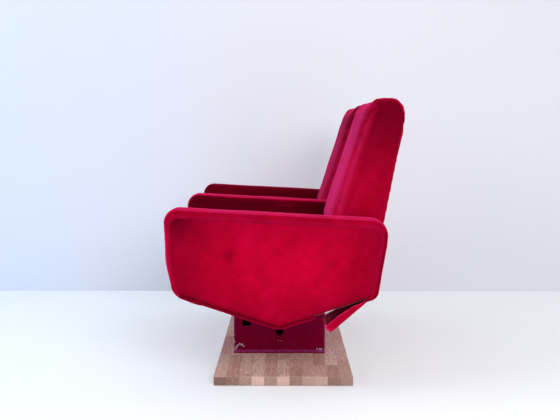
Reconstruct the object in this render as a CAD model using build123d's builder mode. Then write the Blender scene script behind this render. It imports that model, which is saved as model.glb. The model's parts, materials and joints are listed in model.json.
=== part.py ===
from build123d import *
import math
import os

os.makedirs("parts", exist_ok=True)

# A pair of tip up auditorium seats on one pedestal and board.  Millimetres.
# X runs along the row, the seats face -Y, Z is up.  The origin is on the floor, under the
# middle of the board.  Left and right are those of somebody sitting in the seats.

# Row layout
seat_pitch = 540.0            # centre of one arm to centre of the next
arm_width = 70.0
side_gap = 5.0                # cushion side to arm
screw_gap = 0.2               # screws and bolts in their holes, on the radius
soft_gap = 0.3                # upholstery to what it meets
part_gap = 1.0                # cut-outs round hard parts

# Board
board_length = 904.0
board_depth = 441.0
board_thick = 28.0
board_edge = 2.5
underlay_thick = 3.0
underlay_inset = 8.0

# Pedestal
pedestal_width = 352.0
pedestal_depth = 320.0
pedestal_y = -14.0
pedestal_height = 185.0
end_plate_thick = 4.0
end_fold_round = 3.0          # inside the fold
foot_flange = 24.0
panel_thick = 2.0
corner_leg = 22.0
corner_thick = 3.0
top_plate_thick = 6.0
front_slot_y = -129.0         # the slots in the end plates
front_slot_width = 30.0
front_slot_height = 34.0
front_slot_rise = 91.0        # lower edge above the board
rear_slot_y = -13.5
rear_slot_width = 27.0
rear_slot_height = 52.0
rear_slot_rise = 54.5
rear_slot_throat = 15.0       # the narrow foot of the rear slot
rear_slot_step = 8.0
slot_round = 3.0

# Cross beam and what holds it
beam_depth = 60.0
beam_height = 50.0
beam_wall = 4.0
beam_round = 6.0
strap_x = 78.0
strap_width = 40.0
strap_thick = 5.0
strap_foot = 32.0
keel_plate_thick = 6.0
keel_plate_width = 160.0
keel_plate_height = 108.0     # above the deck
keel_bolt_margin = 12.0
keel_bolt_rise = 47.0         # the lower bolts, above the deck
cleat_leg = 28.0
cleat_height = 50.0
cleat_thick = 5.0
cleat_length = 56.0
cleat_bolt_pitch = 28.0
cleat_bolt_rise = 33.0

# Arms: the outline's corners, with heights above the deck, the top of the pedestal
keel_y = -12.0
keel_rise = -12.0
heel_y = 279.0
heel_rise = 85.5
rear_bend_y = 305.5
rear_bend_rise = 243.0
arm_rear_y = 310.0
arm_rear_rise = 319.0
arm_front_y = -352.5
arm_front_rise = 353.5
front_bend_y = -346.0
front_bend_rise = 190.0
chin_y = -325.5
chin_rise = 91.0
keel_round = 70.0
heel_round = 28.0
rear_bend_round = 120.0
arm_rear_round = 50.0
arm_front_round = 42.0
front_bend_round = 220.0
chin_round = 52.0
core_thick = 50.0
border_pad = 8.0              # padding round the arm's core
border_round = 9.5
rim_bottom = 10.0             # how far the border folds over each face
rim_rear = 23.0
rim_top = 28.0
rim_front = 19.0
panel_corner = 14.0
panel_top_corner = 30.0
panel_edge = 4.0

# The torn band of the left arm's border
tear_front = 186.0            # forward of the heel
tear_rear = 31.0
strip_web = 5.0
strip_fold = 5.0
strip_margin = 3.0            # short of the arm's inner face
strip_points = [(137.0, 102.5), (95.0, 66.0), (62.0, 36.5), (43.0, 20.5)]  # forward, below the heel
strip_heights = [27.0, 24.0, 17.0, 9.0, 1.0]     # of its folded edges, from the free end

# Seats
pivot_y = 15.0
pivot_rise = 20.0             # above the beam
seat_tilt = 68.0
hinge_drop = 19.0             # pivot to the underside of the hinge plate
hinge_offset = 140.0          # each side of the seat's centre
hinge_flange_thick = 5.0
hinge_flange_width = 56.0
hinge_flange_front = 150.0    # forward of the pivot
hinge_flange_rear = 30.0
hinge_screw_side = 20.5       # each side of the flange's middle
hinge_screw_front = 20.0      # from the flange's front edge
hinge_screw_rear = 14.0
lug_thick = 10.0
lug_round = 13.0
lug_front = 90.0
lug_web_y = 7.8               # where the web meets the lug's round, from the pivot
lug_web_z = 10.4
pin_radius = 6.0
pin_head_radius = 10.0
pin_head = 4.0
pin_tail = 5.0
pin_gap = 0.03                # pin in the carrier's ears, on the radius
running_gap = 0.06            # bush on the pin, on the radius
bush_radius = 9.0
bush_gap = 0.02
clip_thick = 1.2
clip_groove = 1.2
ear_thick = 6.0
ear_gap = 1.0                 # carrier ear to lug
ear_round = 14.0
carrier_base = 5.0
horn_reach = 88.0             # forward of the beam
horn_thick = 8.0
horn_tip_drop = 4.0
gusset_drop = 34.0
gusset_foot = 10.0
buffer_y = -112.0
buffer_radius = 11.0
buffer_edge = 2.0
stop_pad_thick = 6.0
stop_pad_length = 15.0
stop_near = 14.0              # past the lug, along the tipped hinge plate
pan_thick = 12.0
pan_margin = 6.0
pan_front_y = -316.0
pan_rear_y = 82.0
pan_round = 25.0
cushion_thick = 124.0
cushion_front_y = -361.0
cushion_rear_y = 87.0
cushion_foot_y = -322.0       # the front's lower edge, drawn back under the nose
cushion_nose_round = 30.0
cushion_rear_round = 24.0
cushion_foot_round = 8.0
cushion_crown = 8.0
cushion_top_corner = 24.0
cushion_plan_corner = 30.0
cushion_bow = 4.0             # how far the sides draw in and the front bows out

# Backs: heights above the deck
back_foot_rise = 218.0
back_height = 462.0
back_front_y = 116.1          # at the foot
back_rear_y = 291.0           # at the foot
back_front_lean = 0.322       # along Y for each mm of height
back_rear_lean = 0.186
back_nose_round = 48.0
back_rear_round = 63.0
back_foot_round = 60.0
back_heel_round = 8.0
back_crown = 6.0
back_top_crown = 5.0
back_bow = 4.0
back_top_corner = 36.0
back_front_corner = 44.0
back_rear_corner = 9.0
back_board_thick = 12.0
back_board_inset = 14.0
back_board_top = 390.0        # above the back's foot
back_skirt = 110.0            # below the back's foot
back_cover_thick = 14.0
back_cover_inset = 18.0
back_cover_top = 381.0
back_cover_edge = 5.0
bracket_leg = 45.0
bracket_thick = 4.0
bracket_foot_rise = 130.0
bracket_height = 84.0
bracket_screw_out = 32.0      # from the bracket's corner
bracket_screw_margin = 21.0

# Screws and bolts: shank radius, head radius (to the corners where it has six), head height
foot_screw_radius = 4.0
foot_screw_head_radius = 8.0
foot_screw_head = 5.3
foot_screw_pitch = 88.0
m5_radius = 2.5
m5_head_radius = 4.5
m5_head = 2.4
m6_radius = 3.0
m6_head_radius = 5.4
m6_head = 3.6
m8_radius = 4.0
m8_hex = 7.2
m8_head = 5.3
m10_radius = 5.0
m10_hex = 9.2
m10_head = 6.4
cover_screw_length = 9.0
cover_screw_margin = 30.0
strap_bolt_length = 22.0
hinge_screw_length = 14.0
back_board_screw_length = 15.0
back_arm_screw_length = 34.0

# Heights and places that follow
board_foot = underlay_thick
board_top = board_foot + board_thick
top_plate_foot = board_top + pedestal_height
deck = top_plate_foot + top_plate_thick
beam_top = deck + beam_height
beam_front = keel_y - beam_depth / 2
beam_rear = keel_y + beam_depth / 2
arm_xs = (seat_pitch, 0.0, -seat_pitch)
seat_xs = (seat_pitch / 2, -seat_pitch / 2)
seat_half = (seat_pitch - arm_width) / 2 - side_gap
beam_half = seat_pitch - core_thick / 2 - keel_plate_thick
pivot_z = beam_top + pivot_rise
pan_foot = pivot_z + hinge_drop + hinge_flange_thick
pan_top = pan_foot + pan_thick
cushion_top = pan_top + cushion_thick
back_foot = deck + back_foot_rise
back_top = back_foot + back_height
end_x = pedestal_width / 2
pedestal_front = pedestal_y - pedestal_depth / 2
pedestal_rear = pedestal_y + pedestal_depth / 2
far = 1000.0                  # longer than anything that a cut goes through

arm_outline = [
    (keel_y, deck + keel_rise),
    (heel_y, deck + heel_rise),
    (rear_bend_y, deck + rear_bend_rise),
    (arm_rear_y, deck + arm_rear_rise),
    (arm_front_y, deck + arm_front_rise),
    (front_bend_y, deck + front_bend_rise),
    (chin_y, deck + chin_rise),
]
arm_radii = [
    keel_round, heel_round, rear_bend_round, arm_rear_round,
    arm_front_round, front_bend_round, chin_round,
]
rims = [rim_bottom, rim_rear, rim_rear, rim_top, rim_front, rim_front, rim_bottom]
panel_radii = [
    keel_round - rim_bottom, panel_corner, rear_bend_round - rim_rear, panel_top_corner,
    panel_top_corner, front_bend_round - rim_front, panel_corner,
]


def inset_outline(points, insets):
    """Moves each edge of an anticlockwise outline inwards by its own distance."""
    edges = []
    for i, (y0, z0) in enumerate(points):
        y1, z1 = points[(i + 1) % len(points)]
        length = math.hypot(y1 - y0, z1 - z0)
        run, rise = (y1 - y0) / length, (z1 - z0) / length
        edges.append((y0 - rise * insets[i], z0 + run * insets[i], run, rise))
    corners = []
    for i, (yb, zb, run_b, rise_b) in enumerate(edges):
        ya, za, run_a, rise_a = edges[i - 1]
        cross = run_a * rise_b - rise_a * run_b
        along = ((yb - ya) * rise_b - (zb - za) * run_b) / cross
        corners.append((ya + along * run_a, za + along * rise_a))
    return corners


def offset_path(points, distances):
    """Moves each point of an open path to its left, square to the path there."""
    moved = []
    for i, (y, z) in enumerate(points):
        y0, z0 = points[max(i - 1, 0)]
        y1, z1 = points[min(i + 1, len(points) - 1)]
        length = math.hypot(y1 - y0, z1 - z0)
        moved.append((y - (z1 - z0) / length * distances[i], z + (y1 - y0) / length * distances[i]))
    return moved


def rear_line(z, depth=0.0):
    """Y at height z of a plane that lies this deep inside the back's rear face."""
    slant = math.hypot(1, back_rear_lean)
    return back_rear_y + back_rear_lean * (z - back_foot) - depth * slant


def front_line(z):
    """Y at height z of the back's front face."""
    return back_front_y + back_front_lean * (z - back_foot)


def lean_slab(deep, shallow, foot, top):
    """Side view of a slab parallel to the back's rear face, as four points."""
    return [
        (rear_line(foot, deep), foot), (rear_line(foot, shallow), foot),
        (rear_line(top, shallow), top), (rear_line(top, deep), top),
    ]


def save(builder, label):
    builder.part.label = label
    export_step(builder.part, f"parts/{label}.step")


core_outline = inset_outline(arm_outline, [border_pad] * len(arm_outline))
core_radii = [radius - border_pad for radius in arm_radii]
opening_outline = inset_outline(arm_outline, rims)
panel_outline = inset_outline(arm_outline, [rim + soft_gap for rim in rims])
plate_outline = inset_outline(arm_outline, [rim + part_gap for rim in rims])
keel_plate_top = deck + keel_plate_height

# ---------------------------------------------------------------- board and pedestal

foot_screw_points = [
    (side * (end_x + foot_flange / 2), pedestal_y + (i - 1) * foot_screw_pitch)
    for side in (1, -1) for i in range(3)
]

with BuildPart() as base_underlay:
    with BuildSketch(Plane.XY):
        Rectangle(board_length - 2 * underlay_inset, board_depth - 2 * underlay_inset)
    extrude(amount=underlay_thick)
save(base_underlay, "base_underlay")

with BuildPart() as base_board:
    with BuildSketch(Plane.XY.offset(board_foot)):
        Rectangle(board_length, board_depth)
    extrude(amount=board_thick)
    fillet(base_board.edges().filter_by(Axis.Z), board_edge)
    fillet(base_board.faces().sort_by(Axis.Z)[-1].edges(), board_edge)
    with BuildSketch(Plane.XY.offset(board_foot)):
        with Locations(*foot_screw_points):
            Circle(foot_screw_radius + screw_gap)
    extrude(amount=board_thick, mode=Mode.SUBTRACT)
    with BuildSketch(Plane.XY.offset(board_foot)):
        with Locations(*foot_screw_points):
            Circle(foot_screw_head_radius + screw_gap)
    extrude(amount=foot_screw_head + screw_gap, mode=Mode.SUBTRACT)
save(base_board, "base_board")

with BuildPart() as foot_screws:
    with BuildSketch(Plane.XY.offset(board_foot + screw_gap)):
        with Locations(*foot_screw_points):
            Circle(foot_screw_head_radius)
    extrude(amount=foot_screw_head - screw_gap)
    with BuildSketch(Plane.XY.offset(board_foot + foot_screw_head)):
        with Locations(*foot_screw_points):
            Circle(foot_screw_radius)
    extrude(amount=board_thick - foot_screw_head + end_plate_thick)
save(foot_screws, "foot_screws")


def make_pedestal_end(side, label):
    """An upright plate folded out into a foot flange, with two cable slots."""
    with BuildPart() as end:
        with BuildSketch(Plane.XZ.offset(-pedestal_front)):
            with BuildLine():
                FilletPolyline(
                    (side * (end_x - end_plate_thick), board_top),
                    (side * (end_x + foot_flange), board_top),
                    (side * (end_x + foot_flange), board_top + end_plate_thick),
                    (side * end_x, board_top + end_plate_thick),
                    (side * end_x, top_plate_foot),
                    (side * (end_x - end_plate_thick), top_plate_foot),
                    radius=[end_fold_round + end_plate_thick, 0, 0, end_fold_round, 0, 0],
                    close=True,
                )
            make_face()
        extrude(amount=-pedestal_depth)
        with BuildSketch(Plane.YZ.offset(side * end_x)):
            with Locations((front_slot_y, board_top + front_slot_rise + front_slot_height / 2)):
                RectangleRounded(front_slot_width, front_slot_height, slot_round)
            throat_foot = board_top + rear_slot_rise
            with Locations((rear_slot_y, throat_foot + rear_slot_height / 2)):
                RectangleRounded(rear_slot_throat, rear_slot_height, slot_round)
            with Locations((rear_slot_y, throat_foot + (rear_slot_height + rear_slot_step) / 2)):
                RectangleRounded(rear_slot_width, rear_slot_height - rear_slot_step, slot_round)
        extrude(amount=2 * end_plate_thick, both=True, mode=Mode.SUBTRACT)
        with BuildSketch(Plane.XY.offset(board_top)):
            with Locations(*foot_screw_points):
                Circle(foot_screw_radius + screw_gap)
        extrude(amount=end_plate_thick, mode=Mode.SUBTRACT)
    save(end, label)


make_pedestal_end(1, "pedestal_left_end")
make_pedestal_end(-1, "pedestal_right_end")

corner_x = end_x - end_plate_thick
cover_screw_zs = (board_top + cover_screw_margin, top_plate_foot - cover_screw_margin)
cover_screw_points = [
    (side * (corner_x - (corner_leg + corner_thick) / 2), z)
    for side in (1, -1) for z in cover_screw_zs
]


def make_pedestal_cover(y, facing, label):
    """A flat cover between the end plates; facing is -1 at the front and 1 at the rear."""
    with BuildPart() as cover:
        with BuildSketch(Plane.XZ.offset(-y)):
            with Locations((0, board_top + pedestal_height / 2)):
                Rectangle(2 * corner_x - 2 * screw_gap, pedestal_height)
            with Locations(*cover_screw_points):
                Circle(m5_radius + screw_gap, mode=Mode.SUBTRACT)
        extrude(amount=facing * panel_thick)
    save(cover, label)


make_pedestal_cover(pedestal_front, -1, "pedestal_front_cover")
make_pedestal_cover(pedestal_rear, 1, "pedestal_rear_cover")

with BuildPart() as pedestal_corner_angles:
    for side in (1, -1):
        for y, facing in ((pedestal_front, 1), (pedestal_rear, -1)):
            face_y = y + facing * panel_thick
            with BuildSketch(Plane.XY.offset(board_top)):
                with BuildLine():
                    Polyline(
                        (side * corner_x, face_y),
                        (side * (corner_x - corner_leg), face_y),
                        (side * (corner_x - corner_leg), face_y + facing * corner_thick),
                        (side * (corner_x - corner_thick), face_y + facing * corner_thick),
                        (side * (corner_x - corner_thick), face_y + facing * corner_leg),
                        (side * corner_x, face_y + facing * corner_leg),
                        close=True,
                    )
                make_face()
            extrude(amount=pedestal_height)
    with BuildSketch(Plane.XZ.offset(-pedestal_front)):
        with Locations(*cover_screw_points):
            Circle(m5_radius + screw_gap)
    extrude(amount=-pedestal_depth, mode=Mode.SUBTRACT)
save(pedestal_corner_angles, "pedestal_corner_angles")

with BuildPart() as cover_screws:
    for y, facing in ((pedestal_front, 1), (pedestal_rear, -1)):
        with BuildSketch(Plane.XZ.offset(-y)):
            with Locations(*cover_screw_points):
                Circle(m5_head_radius)
        extrude(amount=facing * m5_head)
        with BuildSketch(Plane.XZ.offset(-y)):
            with Locations(*cover_screw_points):
                Circle(m5_radius)
        extrude(amount=-facing * cover_screw_length)
save(cover_screws, "cover_screws")

strap_bolt_y = beam_depth / 2 + strap_thick + strap_foot / 2
strap_bolt_points = [
    (side * strap_x, keel_y + facing * strap_bolt_y) for side in (1, -1) for facing in (1, -1)
]

with BuildPart() as pedestal_top_plate:
    with BuildSketch(Plane.XY.offset(top_plate_foot)):
        with Locations((0, pedestal_y)):
            Rectangle(pedestal_width, pedestal_depth)
        with Locations(*strap_bolt_points):
            Circle(m10_radius + screw_gap, mode=Mode.SUBTRACT)
    extrude(amount=top_plate_thick)
save(pedestal_top_plate, "pedestal_top_plate")

# ---------------------------------------------------------------- beam

with BuildPart() as cross_beam:
    with BuildSketch(Plane.YZ.offset(-beam_half)):
        with Locations((keel_y, deck + beam_height / 2)):
            RectangleRounded(beam_depth, beam_height, beam_round)
            RectangleRounded(
                beam_depth - 2 * beam_wall, beam_height - 2 * beam_wall,
                beam_round - beam_wall, mode=Mode.SUBTRACT,
            )
    extrude(amount=2 * beam_half)
save(cross_beam, "cross_beam")

with BuildPart() as beam_straps:
    for side in (1, -1):
        with BuildSketch(Plane.YZ.offset(side * strap_x - strap_width / 2)):
            with Locations((keel_y, deck + (beam_height + strap_thick) / 2)):
                Rectangle(beam_depth + 2 * strap_thick, beam_height + strap_thick)
            with Locations((keel_y, deck + strap_thick / 2)):
                Rectangle(beam_depth + 2 * (strap_thick + strap_foot), strap_thick)
            with Locations((keel_y, deck + beam_height / 2)):
                Rectangle(beam_depth, beam_height, mode=Mode.SUBTRACT)
        extrude(amount=strap_width)
    with BuildSketch(Plane.XY.offset(deck)):
        with Locations(*strap_bolt_points):
            Circle(m10_radius + screw_gap)
    extrude(amount=strap_thick, mode=Mode.SUBTRACT)
save(beam_straps, "beam_straps")

with BuildPart() as strap_bolts:
    with BuildSketch(Plane.XY.offset(deck + strap_thick)):
        with Locations(*strap_bolt_points):
            RegularPolygon(m10_hex, 6)
    extrude(amount=m10_head)
    with BuildSketch(Plane.XY.offset(deck + strap_thick)):
        with Locations(*strap_bolt_points):
            Circle(m10_radius)
    extrude(amount=-strap_bolt_length)
save(strap_bolts, "strap_bolts")

keel_bolt_y = keel_plate_width / 2 - keel_bolt_margin
keel_bolt_points = [
    (keel_y + facing * keel_bolt_y, z)
    for facing in (1, -1) for z in (deck + keel_bolt_rise, keel_plate_top - keel_bolt_margin)
]

with BuildPart() as beam_end_plates:
    for side in (1, -1):
        with BuildSketch(Plane.YZ.offset(side * beam_half)):
            with BuildLine():
                FilletPolyline(*plate_outline, radius=panel_radii, close=True)
            make_face()
            with Locations((keel_y, keel_plate_top - far / 2)):
                Rectangle(keel_plate_width, far, mode=Mode.INTERSECT)
            with Locations(*keel_bolt_points):
                Circle(m8_radius + screw_gap, mode=Mode.SUBTRACT)
        extrude(amount=side * keel_plate_thick)
save(beam_end_plates, "beam_end_plates")

core_outer_x = seat_pitch + core_thick / 2
with BuildPart() as end_plate_bolts:
    for side in (1, -1):
        with BuildSketch(Plane.YZ.offset(side * (core_outer_x - m8_head - screw_gap))):
            with Locations(*keel_bolt_points):
                RegularPolygon(m8_hex, 6)
        extrude(amount=side * m8_head)
        with BuildSketch(Plane.YZ.offset(side * (core_outer_x - m8_head - screw_gap))):
            with Locations(*keel_bolt_points):
                Circle(m8_radius)
        extrude(amount=-side * (core_thick + keel_plate_thick))
save(end_plate_bolts, "end_plate_bolts")

with BuildPart() as end_plate_nuts:
    for side in (1, -1):
        with BuildSketch(Plane.YZ.offset(side * beam_half)):
            with Locations(*keel_bolt_points):
                RegularPolygon(m8_hex, 6)
                Circle(m8_radius + screw_gap, mode=Mode.SUBTRACT)
        extrude(amount=-side * m8_head)
save(end_plate_nuts, "end_plate_nuts")

cleat_bolt_points = [
    (keel_y + facing * cleat_bolt_pitch / 2, beam_top + cleat_bolt_rise) for facing in (1, -1)
]

with BuildPart() as middle_arm_cleats:
    for side in (1, -1):
        with BuildSketch(Plane.XZ.offset(-keel_y)):
            with BuildLine():
                Polyline(
                    (side * core_thick / 2, beam_top),
                    (side * (core_thick / 2 + cleat_leg), beam_top),
                    (side * (core_thick / 2 + cleat_leg), beam_top + cleat_thick),
                    (side * (core_thick / 2 + cleat_thick), beam_top + cleat_thick),
                    (side * (core_thick / 2 + cleat_thick), beam_top + cleat_height),
                    (side * core_thick / 2, beam_top + cleat_height),
                    close=True,
                )
            make_face()
        extrude(amount=cleat_length / 2, both=True)
    with BuildSketch(Plane.YZ):
        with Locations(*cleat_bolt_points):
            Circle(m8_radius + screw_gap)
    extrude(amount=core_thick, both=True, mode=Mode.SUBTRACT)
save(middle_arm_cleats, "middle_arm_cleats")

cleat_face = core_thick / 2 + cleat_thick
with BuildPart() as cleat_bolts:
    with BuildSketch(Plane.YZ.offset(cleat_face)):
        with Locations(*cleat_bolt_points):
            RegularPolygon(m8_hex, 6)
    extrude(amount=m8_head)
    with BuildSketch(Plane.YZ.offset(cleat_face)):
        with Locations(*cleat_bolt_points):
            Circle(m8_radius)
    extrude(amount=-(2 * cleat_face + m8_head))
save(cleat_bolts, "cleat_bolts")

with BuildPart() as cleat_nuts:
    with BuildSketch(Plane.YZ.offset(-cleat_face)):
        with Locations(*cleat_bolt_points):
            RegularPolygon(m8_hex, 6)
            Circle(m8_radius + screw_gap, mode=Mode.SUBTRACT)
    extrude(amount=-m8_head)
save(cleat_nuts, "cleat_nuts")

# ---------------------------------------------------------------- arms

keel_slope = (heel_rise - keel_rise) / (heel_y - keel_y)
tear_front_y = heel_y - tear_front
tear_rear_y = heel_y - tear_rear
tear_front_z = deck + heel_rise - keel_slope * tear_front
tear_rear_z = deck + heel_rise - keel_slope * tear_rear

bracket_foot = deck + bracket_foot_rise
bracket_top = bracket_foot + bracket_height
bracket_screw_zs = (bracket_foot + bracket_screw_margin, bracket_top - bracket_screw_margin)
board_front_depth = back_cover_thick + back_board_thick
arm_screw_points = [
    (rear_line(z, board_front_depth) - bracket_screw_out, z) for z in bracket_screw_zs
]


def inner_sides(x):
    """The sides of an arm, 1 for +X, that face a seat."""
    return [side for side in (1, -1) if abs(x + side * seat_pitch / 2) < seat_pitch]


def make_arm_core(x, label):
    """The board inside an arm, drilled for its bolts and notched for the beam."""
    with BuildPart() as core:
        with BuildSketch(Plane.YZ.offset(x - core_thick / 2)):
            with BuildLine():
                FilletPolyline(*core_outline, radius=core_radii, close=True)
            make_face()
        extrude(amount=core_thick)
        for side in inner_sides(x):
            with BuildSketch(Plane.YZ.offset(x + side * core_thick / 2)):
                with Locations(*arm_screw_points):
                    Circle(m6_radius + screw_gap)
            blind = back_arm_screw_length - bracket_thick - (arm_width - core_thick) / 2
            extrude(amount=-side * (blind + screw_gap), mode=Mode.SUBTRACT)
        if x == 0:
            with BuildSketch(Plane.YZ.offset(-core_thick / 2)):
                with Locations((keel_y, beam_top - far / 2)):
                    Rectangle(beam_depth + 2 * part_gap, far)
                with Locations((keel_y, deck + soft_gap - far / 2)):
                    Rectangle(far, far)
                with Locations(*cleat_bolt_points):
                    Circle(m8_radius + screw_gap)
            extrude(amount=core_thick, mode=Mode.SUBTRACT)
        else:
            outward = math.copysign(1, x)
            with BuildSketch(Plane.YZ.offset(x - core_thick / 2)):
                with Locations(*keel_bolt_points):
                    Circle(m8_radius + screw_gap)
            extrude(amount=core_thick, mode=Mode.SUBTRACT)
            with BuildSketch(Plane.YZ.offset(x + outward * core_thick / 2)):
                with Locations(*keel_bolt_points):
                    Circle(m8_hex + part_gap)
            extrude(amount=-outward * (m8_head + screw_gap), mode=Mode.SUBTRACT)
    save(core, label)


def make_arm_border(x, label, torn):
    """The padded band round an arm, folded over the rims of both faces."""
    with BuildPart() as border:
        with BuildSketch(Plane.YZ.offset(x - arm_width / 2)):
            with BuildLine():
                FilletPolyline(*arm_outline, radius=arm_radii, close=True)
            make_face()
        extrude(amount=arm_width)
        side_faces = border.faces().sort_by(Axis.X)
        fillet(side_faces[0].edges() + side_faces[-1].edges(), border_round)
        with BuildSketch(Plane.YZ.offset(x - arm_width / 2)):
            with BuildLine():
                FilletPolyline(*opening_outline, radius=panel_radii, close=True)
            make_face()
        extrude(amount=arm_width, mode=Mode.SUBTRACT)
        with BuildSketch(Plane.YZ.offset(x - core_thick / 2)):
            with BuildLine():
                FilletPolyline(*core_outline, radius=core_radii, close=True)
            make_face()
        extrude(amount=core_thick, mode=Mode.SUBTRACT)
        if x == 0:
            with BuildSketch(Plane.YZ.offset(-arm_width / 2)):
                with Locations((keel_y, beam_top + part_gap - far / 2)):
                    Rectangle(beam_depth + 2 * part_gap, far)
                with Locations((keel_y, deck + soft_gap - far / 2)):
                    Rectangle(far, far)
            extrude(amount=arm_width, mode=Mode.SUBTRACT)
        else:
            seatward = -math.copysign(1, x)
            with BuildSketch(Plane.YZ.offset(x + seatward * core_thick / 2)):
                with Locations((keel_y, beam_top + part_gap - far / 2)):
                    Rectangle(beam_depth + 2 * part_gap, far)
            extrude(amount=seatward * arm_width, mode=Mode.SUBTRACT)
        if torn:
            high = rim_bottom * math.hypot(1, keel_slope) + soft_gap
            with BuildSketch(Plane.YZ.offset(x - arm_width / 2)):
                with BuildLine():
                    Polyline(
                        (tear_front_y, tear_front_z - high), (tear_rear_y, tear_rear_z - high),
                        (tear_rear_y, tear_rear_z + high), (tear_front_y, tear_front_z + high),
                        close=True,
                    )
                make_face()
            extrude(amount=arm_width, mode=Mode.SUBTRACT)
    save(border, label)


def make_arm_panel(x, side, label):
    """The padded panel set into the border on one side of an arm."""
    with BuildPart() as panel:
        with BuildSketch(Plane.YZ.offset(x + side * core_thick / 2)):
            with BuildLine():
                FilletPolyline(*panel_outline, radius=panel_radii, close=True)
            make_face()
        extrude(amount=side * (arm_width - core_thick) / 2)
        outer_face = panel.faces().sort_by(Axis.X)[-1 if side > 0 else 0]
        fillet(outer_face.edges(), panel_edge)
        if side in inner_sides(x):
            with BuildSketch(Plane.YZ.offset(x + side * core_thick / 2)):
                with Locations(*arm_screw_points):
                    Circle(m6_radius + screw_gap)
                if x == 0:
                    with Locations((keel_y, beam_top + cleat_height + part_gap - far / 2)):
                        Rectangle(beam_depth + 2 * part_gap, far)
                    with Locations((keel_y, deck + soft_gap - far / 2)):
                        Rectangle(far, far)
                else:
                    with Locations((keel_y, keel_plate_top + part_gap - far / 2)):
                        Rectangle(keel_plate_width + 2 * part_gap, far)
            extrude(amount=side * arm_width, mode=Mode.SUBTRACT)
    save(panel, label)


for arm_x, arm_name in zip(arm_xs, ("left", "middle", "right")):
    make_arm_core(arm_x, f"{arm_name}_arm_core")
    make_arm_border(arm_x, f"{arm_name}_arm_border", arm_name == "left")
    make_arm_panel(arm_x, 1, f"{arm_name}_arm_left_panel")
    make_arm_panel(arm_x, -1, f"{arm_name}_arm_right_panel")

# The loose band hangs from the left arm's heel, with both edges still folded up.  The path is
# its outer side, from the free end; its last point lies past the tear, where it is cut off.
strip_path = [(heel_y - forward, deck + heel_rise - below) for forward, below in strip_points]
strip_path.append((2 * tear_rear_y - strip_path[-1][0], 2 * tear_rear_z - strip_path[-1][1]))
arm_outer_x = seat_pitch + arm_width / 2
arm_inner_x = arm_outer_x - arm_width + strip_margin

with BuildPart() as loose_strip:
    for x, width, heights in (
        (arm_inner_x, arm_outer_x - arm_inner_x, [strip_web] * len(strip_path)),
        (arm_inner_x, strip_fold, strip_heights),
        (arm_outer_x - strip_fold, strip_fold, strip_heights),
    ):
        with BuildSketch(Plane.YZ.offset(x)):
            with BuildLine():
                raised_path = offset_path(strip_path, heights)
                Polyline(*strip_path, *reversed(raised_path), close=True)
            make_face()
            with Locations((tear_rear_y - far / 2, deck)):
                Rectangle(far, far, mode=Mode.INTERSECT)
        extrude(amount=width)
save(loose_strip, "left_arm_loose_strip")

# ---------------------------------------------------------------- seats

carrier_half = lug_thick / 2 + ear_gap + ear_thick
stop_turn = math.radians(seat_tilt)
stop_out = (math.sin(stop_turn), math.cos(stop_turn))      # square to the tipped hinge plate
stop_along = (math.cos(stop_turn), -math.sin(stop_turn))   # down the tipped hinge plate


def stop_point(out, along):
    """A point by the up stop, from its distances to the pivot."""
    return (
        pivot_y + stop_out[0] * out + stop_along[0] * along,
        pivot_z + stop_out[1] * out + stop_along[1] * along,
    )


stop_face = hinge_drop - stop_pad_thick - soft_gap
buffer_foot = beam_top + horn_thick
buffer_height = pivot_z + hinge_drop - soft_gap - buffer_foot


def hinge_xs(seat_x):
    return [seat_x + side * hinge_offset for side in (1, -1)]


def make_seat_carriers(seat_x, label):
    """Brackets on the beam: ears for the hinge pin, a horn for the buffer, an up stop."""
    with BuildPart() as carriers:
        for x in hinge_xs(seat_x):
            with BuildSketch(Plane.YZ.offset(x - carrier_half)):
                with BuildLine():
                    Polyline(
                        (beam_rear, beam_top),
                        stop_point(0, stop_near + stop_pad_length),
                        stop_point(stop_face, stop_near + stop_pad_length),
                        stop_point(stop_face, stop_near),
                        (pivot_y, pivot_z + ear_round),
                        (pivot_y - ear_round, pivot_z + ear_round),
                        (beam_front, beam_top + horn_thick),
                        (beam_front - horn_reach, beam_top + horn_thick),
                        (beam_front - horn_reach, beam_top - horn_tip_drop),
                        (beam_front - gusset_foot, beam_top - gusset_drop),
                        (beam_front, beam_top - gusset_drop),
                        (beam_front, beam_top),
                        close=True,
                    )
                make_face()
                with Locations((pivot_y, pivot_z)):
                    Circle(ear_round)
                    Circle(pin_radius + pin_gap, mode=Mode.SUBTRACT)
            extrude(amount=2 * carrier_half)
            with BuildSketch(Plane.YZ.offset(x - lug_thick / 2 - ear_gap)):
                with Locations((beam_front + far / 2, beam_top + carrier_base + far / 2)):
                    Rectangle(far, far)
                with Locations((beam_rear + far / 2, beam_top)):
                    Rectangle(far, far)
            extrude(amount=lug_thick + 2 * ear_gap, mode=Mode.SUBTRACT)
    save(carriers, label)


def make_seat_buffers(seat_x, label):
    """Rubber down stops on the horns and up stop pads behind the pins."""
    with BuildPart() as buffers:
        with BuildSketch(Plane.XY.offset(buffer_foot)):
            with Locations(*[(x, buffer_y) for x in hinge_xs(seat_x)]):
                Circle(buffer_radius)
        extrude(amount=buffer_height)
        fillet(buffers.edges().group_by(Axis.Z)[-1], buffer_edge)
        for x in hinge_xs(seat_x):
            with BuildSketch(Plane.YZ.offset(x - carrier_half)):
                with BuildLine():
                    Polyline(
                        stop_point(stop_face, stop_near),
                        stop_point(stop_face, stop_near + stop_pad_length),
                        stop_point(stop_face + stop_pad_thick, stop_near + stop_pad_length),
                        stop_point(stop_face + stop_pad_thick, stop_near),
                        close=True,
                    )
                make_face()
            extrude(amount=2 * carrier_half)
    save(buffers, label)


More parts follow.
